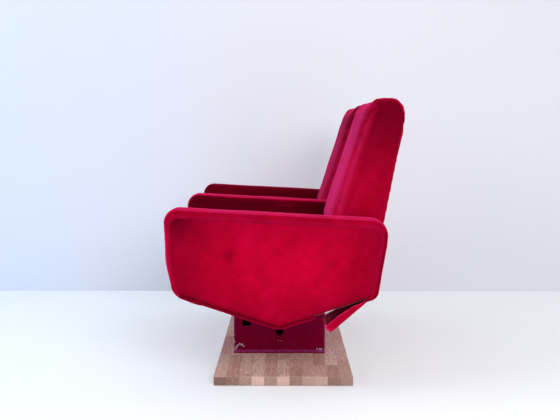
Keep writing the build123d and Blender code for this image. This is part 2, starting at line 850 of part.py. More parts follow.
def make_hinge_pins(seat_x, label):
    """Headed pins, grooved at the tail for a clip."""
    with BuildPart() as pins:
        for x in hinge_xs(seat_x):
            with BuildSketch(Plane.YZ.offset(x + carrier_half)):
                with Locations((pivot_y, pivot_z)):
                    Circle(pin_head_radius)
            extrude(amount=pin_head)
            with BuildSketch(Plane.YZ.offset(x + carrier_half)):
                with Locations((pivot_y, pivot_z)):
                    Circle(pin_radius)
            extrude(amount=-(2 * carrier_half + pin_tail))
            with BuildSketch(Plane.YZ.offset(x - carrier_half)):
                with Locations((pivot_y, pivot_z)):
                    Circle(pin_radius)
                    Circle(pin_radius - clip_groove, mode=Mode.SUBTRACT)
            extrude(amount=-(clip_thick + screw_gap), mode=Mode.SUBTRACT)
    save(pins, label)


def make_pin_clips(seat_x, label):
    """Open spring clips in the grooves of the pins."""
    with BuildPart() as clips:
        for x in hinge_xs(seat_x):
            with BuildSketch(Plane.YZ.offset(x - carrier_half - screw_gap / 2)):
                with Locations((pivot_y, pivot_z)):
                    Circle(pin_head_radius)
                    Circle(pin_radius - clip_groove + pin_gap, mode=Mode.SUBTRACT)
                with Locations((pivot_y, pivot_z - pin_head_radius)):
                    Rectangle(pin_radius, 2 * pin_head_radius, mode=Mode.SUBTRACT)
            extrude(amount=-clip_thick)
    save(clips, label)


def make_hinge_bushes(seat_x, label):
    with BuildPart() as bushes:
        for x in hinge_xs(seat_x):
            with BuildSketch(Plane.YZ.offset(x)):
                with Locations((pivot_y, pivot_z)):
                    Circle(bush_radius)
                    Circle(pin_radius + running_gap, mode=Mode.SUBTRACT)
            extrude(amount=lug_thick / 2, both=True)
    save(bushes, label)


hinge_foot = pivot_z + hinge_drop
hinge_screw_ys = (
    pivot_y - hinge_flange_front + hinge_screw_front,
    pivot_y + hinge_flange_rear - hinge_screw_rear,
)


def hinge_screw_points(seat_x):
    return [
        (x + side * hinge_screw_side, y)
        for x in hinge_xs(seat_x) for side in (1, -1) for y in hinge_screw_ys
    ]


def make_hinge_plates(seat_x, label):
    """Flat flanges under the pan, each with a lug down to its pin."""
    with BuildPart() as plates:
        for x in hinge_xs(seat_x):
            with BuildSketch(Plane.XY.offset(hinge_foot)):
                with Locations((x, pivot_y + (hinge_flange_rear - hinge_flange_front) / 2)):
                    Rectangle(hinge_flange_width, hinge_flange_front + hinge_flange_rear)
            extrude(amount=hinge_flange_thick)
            with BuildSketch(Plane.YZ.offset(x)):
                with BuildLine():
                    Polyline(
                        (pivot_y - lug_front, hinge_foot),
                        (pivot_y - lug_web_y, pivot_z - lug_web_z),
                        (pivot_y, pivot_z),
                        (pivot_y + lug_round, pivot_z),
                        (pivot_y + lug_round, hinge_foot),
                        close=True,
                    )
                make_face()
                with Locations((pivot_y, pivot_z)):
                    Circle(lug_round)
            extrude(amount=lug_thick / 2, both=True)
            with BuildSketch(Plane.YZ.offset(x)):
                with Locations((pivot_y, pivot_z)):
                    Circle(bush_radius + bush_gap)
            extrude(amount=lug_thick, both=True, mode=Mode.SUBTRACT)
        with BuildSketch(Plane.XY.offset(hinge_foot)):
            with Locations(*hinge_screw_points(seat_x)):
                Circle(m6_radius + screw_gap)
        extrude(amount=hinge_flange_thick, mode=Mode.SUBTRACT)
    save(plates, label)


def make_hinge_screws(seat_x, label):
    with BuildPart() as screws:
        with BuildSketch(Plane.XY.offset(hinge_foot)):
            with Locations(*hinge_screw_points(seat_x)):
                Circle(m6_head_radius)
        extrude(amount=-m6_head)
        with BuildSketch(Plane.XY.offset(hinge_foot)):
            with Locations(*hinge_screw_points(seat_x)):
                Circle(m6_radius)
        extrude(amount=hinge_screw_length)
    save(screws, label)


def make_seat_pan(seat_x, label):
    with BuildPart() as pan:
        with BuildSketch(Plane.XY.offset(pan_foot)):
            with Locations((seat_x, (pan_front_y + pan_rear_y) / 2)):
                RectangleRounded(2 * (seat_half - pan_margin), pan_rear_y - pan_front_y, pan_round)
        extrude(amount=pan_thick)
        with BuildSketch(Plane.XY.offset(pan_foot)):
            with Locations(*hinge_screw_points(seat_x)):
                Circle(m6_radius + screw_gap)
        extrude(amount=hinge_screw_length - hinge_flange_thick + screw_gap, mode=Mode.SUBTRACT)
    save(pan, label)


def make_seat_cushion(seat_x, label):
    """Side, front and plan outlines in one: crowned on top, with sides that draw in."""
    left, right = seat_x - seat_half, seat_x + seat_half
    shoulder = cushion_top - cushion_crown
    nose_y = cushion_front_y + cushion_bow
    with BuildPart() as cushion:
        with BuildSketch(Plane.YZ.offset(seat_x)):
            with BuildLine():
                FilletPolyline(
                    (cushion_foot_y, pan_top), (cushion_rear_y, pan_top),
                    (cushion_rear_y, cushion_top), (cushion_front_y, cushion_top),
                    radius=[
                        cushion_foot_round, cushion_foot_round,
                        cushion_rear_round, cushion_nose_round,
                    ],
                    close=True,
                )
            make_face()
        extrude(amount=2 * seat_half, both=True)
        with BuildSketch(Plane.XZ) as front_view:
            with BuildLine():
                ThreePointArc((right, shoulder), (seat_x, cushion_top), (left, shoulder))
                Polyline((left, shoulder), (left, 0), (right, 0), (right, shoulder))
            make_face()
            fillet(front_view.vertices().sort_by(Axis.Y)[-2:], cushion_top_corner)
        extrude(amount=far, both=True, mode=Mode.INTERSECT)
        with BuildSketch(Plane.XY) as plan_view:
            waist = (nose_y + cushion_rear_y) / 2
            with BuildLine():
                ThreePointArc((left, nose_y), (seat_x, cushion_front_y), (right, nose_y))
                ThreePointArc((right, nose_y), (right - cushion_bow, waist), (right, cushion_rear_y))
                Line((right, cushion_rear_y), (left, cushion_rear_y))
                ThreePointArc((left, cushion_rear_y), (left + cushion_bow, waist), (left, nose_y))
            make_face()
            fillet(plan_view.vertices(), cushion_plan_corner)
        extrude(amount=far, both=True, mode=Mode.INTERSECT)
    save(cushion, label)


for seat_x, seat_name in zip(seat_xs, ("left", "right")):
    make_seat_carriers(seat_x, f"{seat_name}_seat_carriers")
    make_seat_buffers(seat_x, f"{seat_name}_seat_buffers")
    make_hinge_pins(seat_x, f"{seat_name}_hinge_pins")
    make_pin_clips(seat_x, f"{seat_name}_pin_clips")
    make_hinge_bushes(seat_x, f"{seat_name}_hinge_bushes")
    make_hinge_plates(seat_x, f"{seat_name}_hinge_plates")
    make_hinge_screws(seat_x, f"{seat_name}_hinge_screws")
    make_seat_pan(seat_x, f"{seat_name}_seat_pan")
    make_seat_cushion(seat_x, f"{seat_name}_seat_cushion")

# ---------------------------------------------------------------- backs

skirt_foot = back_foot - back_skirt
cover_half = seat_half - back_cover_inset
board_half = seat_half - back_board_inset
back_board_zs = (skirt_foot, back_foot + back_board_top)
back_cover_zs = (skirt_foot, back_foot + back_cover_top)
lean_norm = math.hypot(1, back_rear_lean)
board_screw_dir = (0, 1 / lean_norm, -back_rear_lean / lean_norm)
arm_faces = [
    (seat_x + side * (seat_half + side_gap), -side) for seat_x in seat_xs for side in (1, -1)
]


def board_screw_planes(outward=0.0):
    """Planes on the axes of the board's screws, this far in front of its front face."""
    return [
        Plane(
            origin=(x + way * bracket_screw_out, rear_line(z, board_front_depth), z),
            x_dir=(1, 0, 0), z_dir=board_screw_dir,
        ).offset(-outward)
        for x, way in arm_faces for z in bracket_screw_zs
    ]


def make_back_cushion(seat_x, label):
    """A leaning pad, crowned in front and on top, drawn in at the sides, cut out behind."""
    left, right = seat_x - seat_half, seat_x + seat_half
    shoulder = back_top - back_top_crown
    with BuildPart() as cushion:
        with BuildSketch(Plane.YZ.offset(seat_x)):
            with BuildLine():
                FilletPolyline(
                    (front_line(back_foot), back_foot), (rear_line(back_foot), back_foot),
                    (rear_line(back_top), back_top), (front_line(back_top), back_top),
                    radius=[back_foot_round, back_heel_round, back_rear_round, back_nose_round],
                    close=True,
                )
            make_face()
        extrude(amount=2 * seat_half, both=True)
        with BuildSketch(Plane.XZ) as front_view:
            waist = (skirt_foot + shoulder) / 2
            with BuildLine():
                Line((left, skirt_foot), (right, skirt_foot))
                ThreePointArc((right, skirt_foot), (right - back_bow, waist), (right, shoulder))
                ThreePointArc((right, shoulder), (seat_x, back_top), (left, shoulder))
                ThreePointArc((left, shoulder), (left + back_bow, waist), (left, skirt_foot))
            make_face()
            fillet(front_view.vertices().sort_by(Axis.Y)[-2:], back_top_corner)
        extrude(amount=far, both=True, mode=Mode.INTERSECT)
        front_plane = Plane(
            origin=(seat_x, front_line(back_foot), back_foot),
            x_dir=(1, 0, 0), z_dir=(0, back_front_lean, 1),
        )
        with BuildSketch(front_plane) as crowned_view:
            with BuildLine():
                ThreePointArc((-seat_half, back_crown), (0, 0), (seat_half, back_crown))
                Polyline(
                    (seat_half, back_crown), (seat_half, far),
                    (-seat_half, far), (-seat_half, back_crown),
                )
            make_face()
            fillet(crowned_view.vertices().sort_by(Axis.Y)[:2], back_front_corner)
        extrude(amount=far, both=True, mode=Mode.INTERSECT)
        rear_plane = Plane(
            origin=(seat_x, rear_line(back_foot), back_foot),
            x_dir=(1, 0, 0), z_dir=(0, back_rear_lean, 1),
        )
        with BuildSketch(rear_plane) as rear_view:
            with Locations((0, -far / 2)):
                Rectangle(2 * seat_half, far)
            fillet(rear_view.vertices().sort_by(Axis.Y)[-2:], back_rear_corner)
        extrude(amount=far, both=True, mode=Mode.INTERSECT)
        board_slab = (board_front_depth + soft_gap, back_cover_thick - soft_gap)
        cover_slab = (back_cover_thick, -far)
        for slab, half, top in (
            (board_slab, board_half, back_board_zs[1]),
            (cover_slab, cover_half, back_cover_zs[1]),
        ):
            with BuildSketch(Plane.YZ.offset(seat_x - half - soft_gap)):
                with BuildLine():
                    Polyline(*lean_slab(*slab, skirt_foot, top + soft_gap), close=True)
                make_face()
            extrude(amount=2 * (half + soft_gap), mode=Mode.SUBTRACT)
    save(cushion, label)


def make_back_board(seat_x, label):
    with BuildPart() as board:
        with BuildSketch(Plane.YZ.offset(seat_x - board_half)):
            with BuildLine():
                Polyline(
                    *lean_slab(board_front_depth, back_cover_thick, *back_board_zs), close=True,
                )
            make_face()
        extrude(amount=2 * board_half)
        with BuildSketch(*board_screw_planes()):
            Circle(m6_radius + screw_gap)
        hole_depth = back_board_screw_length - bracket_thick + screw_gap
        extrude(amount=hole_depth, mode=Mode.SUBTRACT)
    save(board, label)


def make_back_cover(seat_x, label):
    """The padded panel behind the board, down to the foot of the skirt."""
    with BuildPart() as cover:
        with BuildSketch(Plane.YZ.offset(seat_x - cover_half)):
            with BuildLine():
                Polyline(*lean_slab(back_cover_thick, 0, *back_cover_zs), close=True)
            make_face()
        extrude(amount=2 * cover_half)
        fillet(cover.edges().filter_by(Axis.X).group_by(Axis.Y)[-1], back_cover_edge)
    save(cover, label)


for seat_x, seat_name in zip(seat_xs, ("left", "right")):
    make_back_cushion(seat_x, f"{seat_name}_back_cushion")
    make_back_board(seat_x, f"{seat_name}_back_board")
    make_back_cover(seat_x, f"{seat_name}_back_cover")

with BuildPart() as back_brackets:
    for x, way in arm_faces:
        for depths, width in (
            ((board_front_depth + bracket_thick, board_front_depth), bracket_leg),
            ((board_front_depth + bracket_leg, board_front_depth + bracket_thick), bracket_thick),
        ):
            with BuildSketch(Plane.YZ.offset(x)):
                with BuildLine():
                    Polyline(*lean_slab(*depths, bracket_foot, bracket_top), close=True)
                make_face()
            extrude(amount=way * width)
        with BuildSketch(Plane.YZ.offset(x)):
            with Locations(*arm_screw_points):
                Circle(m6_radius + screw_gap)
        extrude(amount=way * bracket_thick, mode=Mode.SUBTRACT)
    with BuildSketch(*board_screw_planes()):
        Circle(m6_radius + screw_gap)
    extrude(amount=-2 * bracket_thick, mode=Mode.SUBTRACT)
save(back_brackets, "back_brackets")

with BuildPart() as bracket_arm_screws:
    for x, way in arm_faces:
        with BuildSketch(Plane.YZ.offset(x + way * bracket_thick)):
            with Locations(*arm_screw_points):
                Circle(m6_head_radius)
        extrude(amount=way * m6_head)
        with BuildSketch(Plane.YZ.offset(x + way * bracket_thick)):
            with Locations(*arm_screw_points):
                Circle(m6_radius)
        extrude(amount=-way * back_arm_screw_length)
save(bracket_arm_screws, "bracket_arm_screws")

with BuildPart() as bracket_board_screws:
    with BuildSketch(*board_screw_planes(bracket_thick)):
        Circle(m6_head_radius)
    extrude(amount=-m6_head)
    with BuildSketch(*board_screw_planes(bracket_thick)):
        Circle(m6_radius)
    extrude(amount=back_board_screw_length)
save(bracket_board_screws, "bracket_board_screws")
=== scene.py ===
import json
import math
import bpy
import numpy as np
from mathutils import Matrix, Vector


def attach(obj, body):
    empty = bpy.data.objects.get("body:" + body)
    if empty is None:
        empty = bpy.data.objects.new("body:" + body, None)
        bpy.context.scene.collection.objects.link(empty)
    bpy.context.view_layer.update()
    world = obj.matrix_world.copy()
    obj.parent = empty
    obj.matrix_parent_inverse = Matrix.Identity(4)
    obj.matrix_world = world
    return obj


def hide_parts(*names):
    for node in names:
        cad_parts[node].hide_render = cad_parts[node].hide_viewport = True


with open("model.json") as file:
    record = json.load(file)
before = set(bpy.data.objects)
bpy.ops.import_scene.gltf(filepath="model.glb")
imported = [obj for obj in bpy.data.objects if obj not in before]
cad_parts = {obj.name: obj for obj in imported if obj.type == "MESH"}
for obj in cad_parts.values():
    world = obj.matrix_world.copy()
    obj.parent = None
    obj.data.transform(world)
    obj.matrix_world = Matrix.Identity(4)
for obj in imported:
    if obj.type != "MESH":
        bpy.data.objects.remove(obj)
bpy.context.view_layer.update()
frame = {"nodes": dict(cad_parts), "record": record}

nodes = frame["nodes"]
scene = bpy.context.scene
scene.view_settings.view_transform = "Standard"
print("frame loaded:", len(nodes), "nodes")


def addObject(name, data):
    thing = bpy.data.objects.new(name, data)
    scene.collection.objects.link(thing)
    return thing


# Camera at the photograph's place, level with its horizon.
viewing = {"place": (2.713, 0.0044, 0.790), "aim": (-0.99479, -0.00643, -0.10177), "lens": 47.5}
camera = addObject("camera", bpy.data.cameras.new("camera"))
camera.location = viewing["place"]
camera.rotation_euler = Vector(viewing["aim"]).to_track_quat("-Z", "Y").to_euler()
camera.data.lens = viewing["lens"]
scene.camera = camera
print("camera placed")


# Shader helpers
def fillSockets(tree, node, values):
    # A socket among the values is linked; anything else becomes the input's own value.
    for key, value in values.items():
        if isinstance(value, bpy.types.NodeSocket):
            tree.links.new(value, node.inputs[key])
        else:
            node.inputs[key].default_value = value


def addNode(tree, kind, inputs=None, **settings):
    node = tree.nodes.new("ShaderNode" + kind)
    for key, value in settings.items():
        setattr(node, key, value)
    fillSockets(tree, node, inputs or {})
    return node


def useGroup(tree, group, inputs):
    return addNode(tree, "Group", inputs, node_tree=group).outputs


def maths(tree, operation, *values):
    return addNode(tree, "Math", dict(enumerate(values)), operation=operation).outputs[0]


def scaled(tree, value, gain, base=0.0):
    return maths(tree, "MULTIPLY_ADD", value, gain, base)


def between(tree, value, low, high):
    # Smooth step of a value, 0 at low and 1 at high.
    inputs = {"Value": value, "From Min": low, "From Max": high}
    return addNode(tree, "MapRange", inputs, interpolation_type="SMOOTHSTEP").outputs[0]


def distanceTo(tree, place, point):
    return addNode(tree, "VectorMath", {0: place, 1: point}, operation="DISTANCE").outputs["Value"]


def alongAxis(tree, vector, axis):
    return addNode(tree, "SeparateXYZ", {0: vector}).outputs[axis]


def meshValue(tree, name):
    return addNode(tree, "Attribute", attribute_name=name).outputs["Fac"]


def blendColours(tree, share, first, second):
    return addNode(tree, "Mix", {0: share, 6: first, 7: second}, data_type="RGBA").outputs[2]


def tinted(tree, colour, share, strength, tint):
    # The colour mixed towards the tint, by a share that is scaled with the strength.
    return blendColours(tree, scaled(tree, share, strength), colour, tint)


def noise(tree, place, scale, detail=3.0, roughness=0.55, stretch=None, turn=None):
    # Noise value; the place is first turned, and then stretched along each axis.
    if turn:
        place = addNode(tree, "Mapping", {0: place, "Rotation": turn}).outputs[0]
    if stretch:
        place = addNode(tree, "Mapping", {0: place, "Scale": stretch}).outputs[0]
    inputs = {"Vector": place, "Scale": scale, "Detail": detail, "Roughness": roughness}
    return addNode(tree, "TexNoise", inputs).outputs[0]


def shaderGroup(name, build, inputs=None):
    # Node group with a place and these inputs, each with its plain value; what build returns
    # becomes its outputs.
    tree = bpy.data.node_groups.new(name, "ShaderNodeTree")
    for label, value in {"Place": (0, 0, 0), **(inputs or {})}.items():
        kind = "NodeSocketVector" if isinstance(value, tuple) else "NodeSocketFloat"
        tree.interface.new_socket(label, in_out="INPUT", socket_type=kind).default_value = value
    results = build(tree, tree.nodes.new("NodeGroupInput").outputs)
    for label in results:
        tree.interface.new_socket(label, in_out="OUTPUT", socket_type="NodeSocketFloat")
    fillSockets(tree, tree.nodes.new("NodeGroupOutput"), results)
    return tree


def newMaterial(name, **sockets):
    # Principled material; plain values are set on the shader itself.
    material = bpy.data.materials.new(name)
    material.use_nodes = True
    tree = material.node_tree
    shader = next(node for node in tree.nodes if node.type == "BSDF_PRINCIPLED")
    for label, value in sockets.items():
        shader.inputs[label.replace("_", " ")].default_value = value
    place = addNode(tree, "TexCoord").outputs["Object"]
    return material, tree, shader, place


def setBump(tree, shader, height, strength, distance):
    bump = addNode(tree, "Bump", {"Height": height, "Strength": strength, "Distance": distance})
    fillSockets(tree, shader, {"Normal": bump.outputs[0]})


# Effects that several materials share
brush = {
    "strokes": (34.0, 4.0, 0.65, (1.0, 1.0, 0.24), (0.55, 0.25, 0.0)),
    "cross": (46.0, 4.0, 0.65, (1.0, 0.26, 1.0), (0.30, -0.20, 0.35)),
    "shares": (0.54, 0.28, 0.18), "contrast": (0.33, 0.67), "markRagged": 0.016, "markEdge": 0.012,
}


def buildNap(tree, entry):
    # Brushed nap: broad patches and strokes of the brush on two slants, added by their shares, then
    # fine pile, and one pressed mark round a point.
    place = entry["Place"]
    layers = [noise(tree, place, entry["Patch Scale"], 4.0, 0.62)]
    layers += [noise(tree, place, *brush[slant]) for slant in ("strokes", "cross")]
    mixed = 0.0
    for layer, share in zip(layers, brush["shares"]):
        mixed = scaled(tree, layer, share, mixed)
    gap = distanceTo(tree, place, entry["Mark Place"])
    ragged = scaled(tree, noise(tree, place, 70.0), brush["markRagged"], gap)
    return {"Shade": between(tree, mixed, *brush["contrast"]),
            "Pile": noise(tree, place, 900.0, 2.0, 0.6),
            "Mark": between(tree, ragged, entry["Mark Size"], brush["markEdge"])}


napGroup = shaderGroup(
    "brushedNap", buildNap, {"Patch Scale": 9.0, "Mark Place": (0, 0, -5.0), "Mark Size": 0.036})


def buildChips(tree, entry):
    # Chipped paint: noise pits above a threshold, more of them below the given edge height.
    place = entry["Place"]
    pits = noise(tree, place, entry["Pit Scale"], 5.0, 0.62)
    low = between(tree, alongAxis(tree, place, 2), entry["Edge Height"], 0.0)
    level = scaled(tree, low, 0.10, pits)
    scratches = noise(tree, place, 8.0, 2.0, 0.5, (60.0, 1.0, 1.5))
    return {"Chip": between(tree, level, 0.735, 0.75), "Scratch": between(tree, scratches, 0.66, 0.72)}


chipGroup = shaderGroup("chippedPaint", buildChips, {"Pit Scale": 46.0, "Edge Height": 0.04})


def buildGrain(tree, entry):
    # Wood grain along X: long streaks with fine pores.
    streaks = noise(tree, entry["Place"], entry["Scale"], 5.0, 0.6, (0.05, 1.0, 1.0))
    pores = noise(tree, entry["Place"], 1100.0, 2.0, 0.5, (0.06, 1.0, 1.0))
    return {"Streak": between(tree, streaks, 0.3, 0.7), "Pore": between(tree, pores, 0.55, 0.75)}


grainGroup = shaderGroup("woodGrain", buildGrain, {"Scale": 60.0})


def buildDust(tree, entry):
    # Dust and handling marks: soft blotches broken up by fine grains.
    blotch = between(tree, noise(tree, entry["Place"], 14.0, 4.0, 0.6), 0.45, 0.75)
    grains = between(tree, noise(tree, entry["Place"], 420.0, 2.0, 0.6), 0.5, 0.7)
    return {"Dust": scaled(tree, scaled(tree, grains, 0.5, 0.5), blotch)}


dustGroup = shaderGroup("dustFilm", buildDust)


# Materials
velvet = {
    "deep": (0.345, 0.0003, 0.0155, 1), "bright": (0.530, 0.0005, 0.031, 1),
    "rubbedAndSheen": (0.95, 0.036, 0.260, 1), "rubAndSheenShare": (0.35, 0.45),
    "shadow": (0.070, 0.0001, 0.0055, 1), "markShade": 0.34, "markPlace": (0.575, -0.157, 0.436),
    "sheenTint": (1.0, 0.040, 0.260, 1), "sheen": 0.85, "sheenLoss": -0.8,
}
tornReds = dict(velvet, deep=(0.27, 0.0004, 0.013, 1), bright=(0.45, 0.0005, 0.027, 1))


def makeVelvet(name, patchScale, markPlace=(0, 0, -5.0), reds=velvet):
    # Nap mixes a deep and a bright red.  Two values kept in the mesh change it: one lightens it
    # towards pink on rolled edges and fronts, partly as wear and partly as painted sheen, and the
    # other is painted shade, which darkens it towards the shadow red and lowers its sheen.
    material, tree, shader, place = newMaterial(
        name, Sheen_Roughness=0.32, Sheen_Tint=reds["sheenTint"], Sheen_Weight=reds["sheen"],
        Specular_IOR_Level=0.012,
    )
    nap = useGroup(tree, napGroup, {"Place": place, "Patch Scale": patchScale, "Mark Place": markPlace})
    rubAndSheen, paintedShade = meshValue(tree, "rubAndSheen"), meshValue(tree, "paintedShade")
    colour = blendColours(tree, nap["Shade"], reds["deep"], reds["bright"])
    # Wear and painted sheen lighten rolled edges and fronts towards pink.
    rubAndSheenAmount = scaled(tree, nap["Shade"], *reds["rubAndSheenShare"])
    colour = blendColours(tree, scaled(tree, rubAndSheen, rubAndSheenAmount), colour, reds["rubbedAndSheen"])
    # Painted shade, with the pressed mark, mixes the colour towards the shadow red; painted shade also
    # lowers the sheen.
    paintedShadeAndMark = scaled(tree, nap["Mark"], reds["markShade"], paintedShade)
    fillSockets(tree, shader, {
        "Base Color": blendColours(tree, paintedShadeAndMark, colour, reds["shadow"]),
        "Sheen Weight": scaled(tree, paintedShade, reds["sheenLoss"] * reds["sheen"], reds["sheen"]),
        "Roughness": scaled(tree, nap["Shade"], -0.10, 0.96),
    })
    setBump(tree, shader, scaled(tree, nap["Shade"], 0.5, nap["Pile"]), 0.30, 0.0005)
    return material


velvetArm = makeVelvet("armVelvet", 7.0, velvet["markPlace"])
velvetSeat = makeVelvet("seatVelvet", 6.0)
velvetBack = makeVelvet("backVelvet", 6.0)
velvetTorn = makeVelvet("tornVelvet", 26.0, reds=tornReds)


backing = {"weaveDark": (0.030, 0.0004, 0.004, 1), "weaveRed": (0.16, 0.002, 0.016, 1),
           "lint": (0.60, 0.050, 0.085, 1), "lintShare": 0.7, "fluffGain": 0.13}


def makeBacking():
    # Dusty back of the torn cloth: dark weave, and pinkish lint that thickens towards the free end.
    material, tree, shader, place = newMaterial("tornBacking", Roughness=0.95, Specular_IOR_Level=0.1)
    weave = noise(tree, place, 420.0, 3.0, 0.6, (1.0, 0.35, 1.0))
    tufts = noise(tree, place, 330.0, 4.0, 0.75)
    level = scaled(tree, meshValue(tree, "fluff"), backing["fluffGain"], tufts)
    colour = blendColours(tree, between(tree, weave, 0.35, 0.65), backing["weaveDark"], backing["weaveRed"])
    colour = tinted(tree, colour, between(tree, level, 0.60, 0.70), backing["lintShare"], backing["lint"])
    fillSockets(tree, shader, {"Base Color": colour})
    setBump(tree, shader, weave, 0.5, 0.0008)
    return material


tornBacking = makeBacking()


paints = {
    "pedestalPaint": {
        "fresh": (0.168, 0.0002, 0.0092, 1), "worn": (0.190, 0.0005, 0.026, 1),
        "primer": (0.34, 0.31, 0.32, 1), "dustAndHighlight": (0.56, 0.072, 0.34, 1),
        "gloss": 0.24, "pitScale": 52.0, "edgeHeight": 0.016, "coat": 0.0, "glint": (1.0, 0.03, 0.42, 1)},
    "framePaint": {
        "fresh": (0.018, 0.018, 0.020, 1), "worn": (0.035, 0.034, 0.036, 1),
        "primer": (0.22, 0.20, 0.19, 1), "dustAndHighlight": (0.16, 0.15, 0.14, 1),
        "gloss": 0.42, "pitScale": 60.0, "edgeHeight": 0.02, "coat": 0.2, "glint": (1, 1, 1, 1)},
}


def makePaint(name):
    # Enamel over steel: orange peel, faint scratches, a paler tint on level faces that is mostly
    # painted highlight with a little dust, and chips down to primer.
    paint = paints[name]
    material, tree, shader, place = newMaterial(
        name, Coat_Weight=paint["coat"], Coat_Roughness=0.10,
        Specular_IOR_Level=0.30, Specular_Tint=paint["glint"],
    )
    chips = useGroup(tree, chipGroup, {"Place": place, "Pit Scale": paint["pitScale"],
                                       "Edge Height": paint["edgeHeight"]})
    dust = useGroup(tree, dustGroup, {"Place": place})["Dust"]
    tone = blendColours(tree, noise(tree, place, 11.0, 3.0, 0.6), paint["fresh"], paint["worn"])
    tone = tinted(tree, tone, chips["Scratch"], 0.35, paint["worn"])
    # Painted highlight: faces that point up are tinted paler, with a little dust mixed in.
    level = between(tree, alongAxis(tree, addNode(tree, "TexCoord").outputs["Normal"], 2), 0.25, 0.95)
    upwardHighlightAndDust = scaled(tree, level, 0.50, scaled(tree, dust, 0.05))
    tone = blendColours(tree, upwardHighlightAndDust, tone, paint["dustAndHighlight"])
    rough = scaled(tree, dust, 0.18, paint["gloss"])
    fillSockets(tree, shader, {
        "Base Color": blendColours(tree, chips["Chip"], tone, paint["primer"]),
        "Roughness": scaled(tree, chips["Chip"], 0.4, rough),
    })
    height = scaled(tree, chips["Chip"], -2.0, noise(tree, place, 240.0, 2.0, 0.5))
    setBump(tree, shader, height, 0.16, 0.0006)
    return material, tree, shader, place


# The pedestal's upright folds are paler and more purple, in patches.  Chips seen low on its left
# end are ragged discs round their own points (y, z, radius): an arch of small ones at the front,
# two pin holes and a few at the foot.
wear = {
    "foldCentre": -0.014, "foldFrom": 0.1545, "foldTo": 0.1590, "foldColour": (0.50, 0.10, 0.36, 1),
    "chipX": 0.176, "ragged": 0.0066, "outside": 0.0036, "inside": 0.0028,
    "chipColour": (0.42, 0.38, 0.40, 1), "chips": (
        (-0.1650, 0.0450, 0.0040), (-0.1605, 0.0520, 0.0036), (-0.1535, 0.0560, 0.0034),
        (-0.1465, 0.0545, 0.0034), (-0.1405, 0.0495, 0.0030), (-0.1720, 0.0640, 0.0026),
        (-0.1735, 0.0700, 0.0022), (-0.1700, 0.0385, 0.0030), (-0.0175, 0.0690, 0.0014),
        (-0.0065, 0.0690, 0.0014), (0.1180, 0.0400, 0.0026), (0.1285, 0.0385, 0.0036),
        (0.1345, 0.0400, 0.0024)),
}


def wearPedestal(tree, shader, place):
    ragged = scaled(tree, noise(tree, place, 260.0, 3.0, 0.6), wear["ragged"])
    spots = 0.0
    for y, z, size in wear["chips"]:
        gap = maths(tree, "ADD", distanceTo(tree, place, (wear["chipX"], y, z)), ragged)
        spot = between(tree, gap, size + wear["outside"], size + wear["inside"])
        spots = maths(tree, "MAXIMUM", spot, spots)
    offset = maths(tree, "SUBTRACT", alongAxis(tree, place, 1), wear["foldCentre"])
    fromCentre = maths(tree, "ABSOLUTE", offset)
    fold = between(tree, fromCentre, wear["foldFrom"], wear["foldTo"])
    worn = scaled(tree, fold, scaled(tree, noise(tree, place, 90.0), 0.5, 0.05))
    painted = shader.inputs["Base Color"].links[0].from_socket
    colour = blendColours(tree, worn, painted, wear["foldColour"])
    fillSockets(tree, shader, {"Base Color": blendColours(tree, spots, colour, wear["chipColour"])})


pedestalPaint, *pedestalShading = makePaint("pedestalPaint")
wearPedestal(*pedestalShading)
framePaint = makePaint("framePaint")[0]


board = {
    "stave": 0.0401, "block": 0.235, "half": 0.2205, "seed": 3965.0,
    "darkBlock": (0.70, 0.360, 0.288, 1), "paleBlock": (1.0, 0.66, 0.555, 1),
    "streak": (0.38, 0.18, 0.150, 1), "fleck": (0.17, 0.08, 0.060, 1), "pore": (0.16, 0.08, 0.065, 1),
    "ringDark": (0.20, 0.105, 0.080, 1), "ringPale": (0.56, 0.34, 0.26, 1),
    "darkEnd": (0.20, 0.100, 0.075, 1), "paleEnd": (0.76, 0.51, 0.43, 1), "endShare": 0.70,
    "glue": (0.10, 0.05, 0.04, 1), "dustAndHighlight": (0.55, 0.48, 0.44, 1),
}


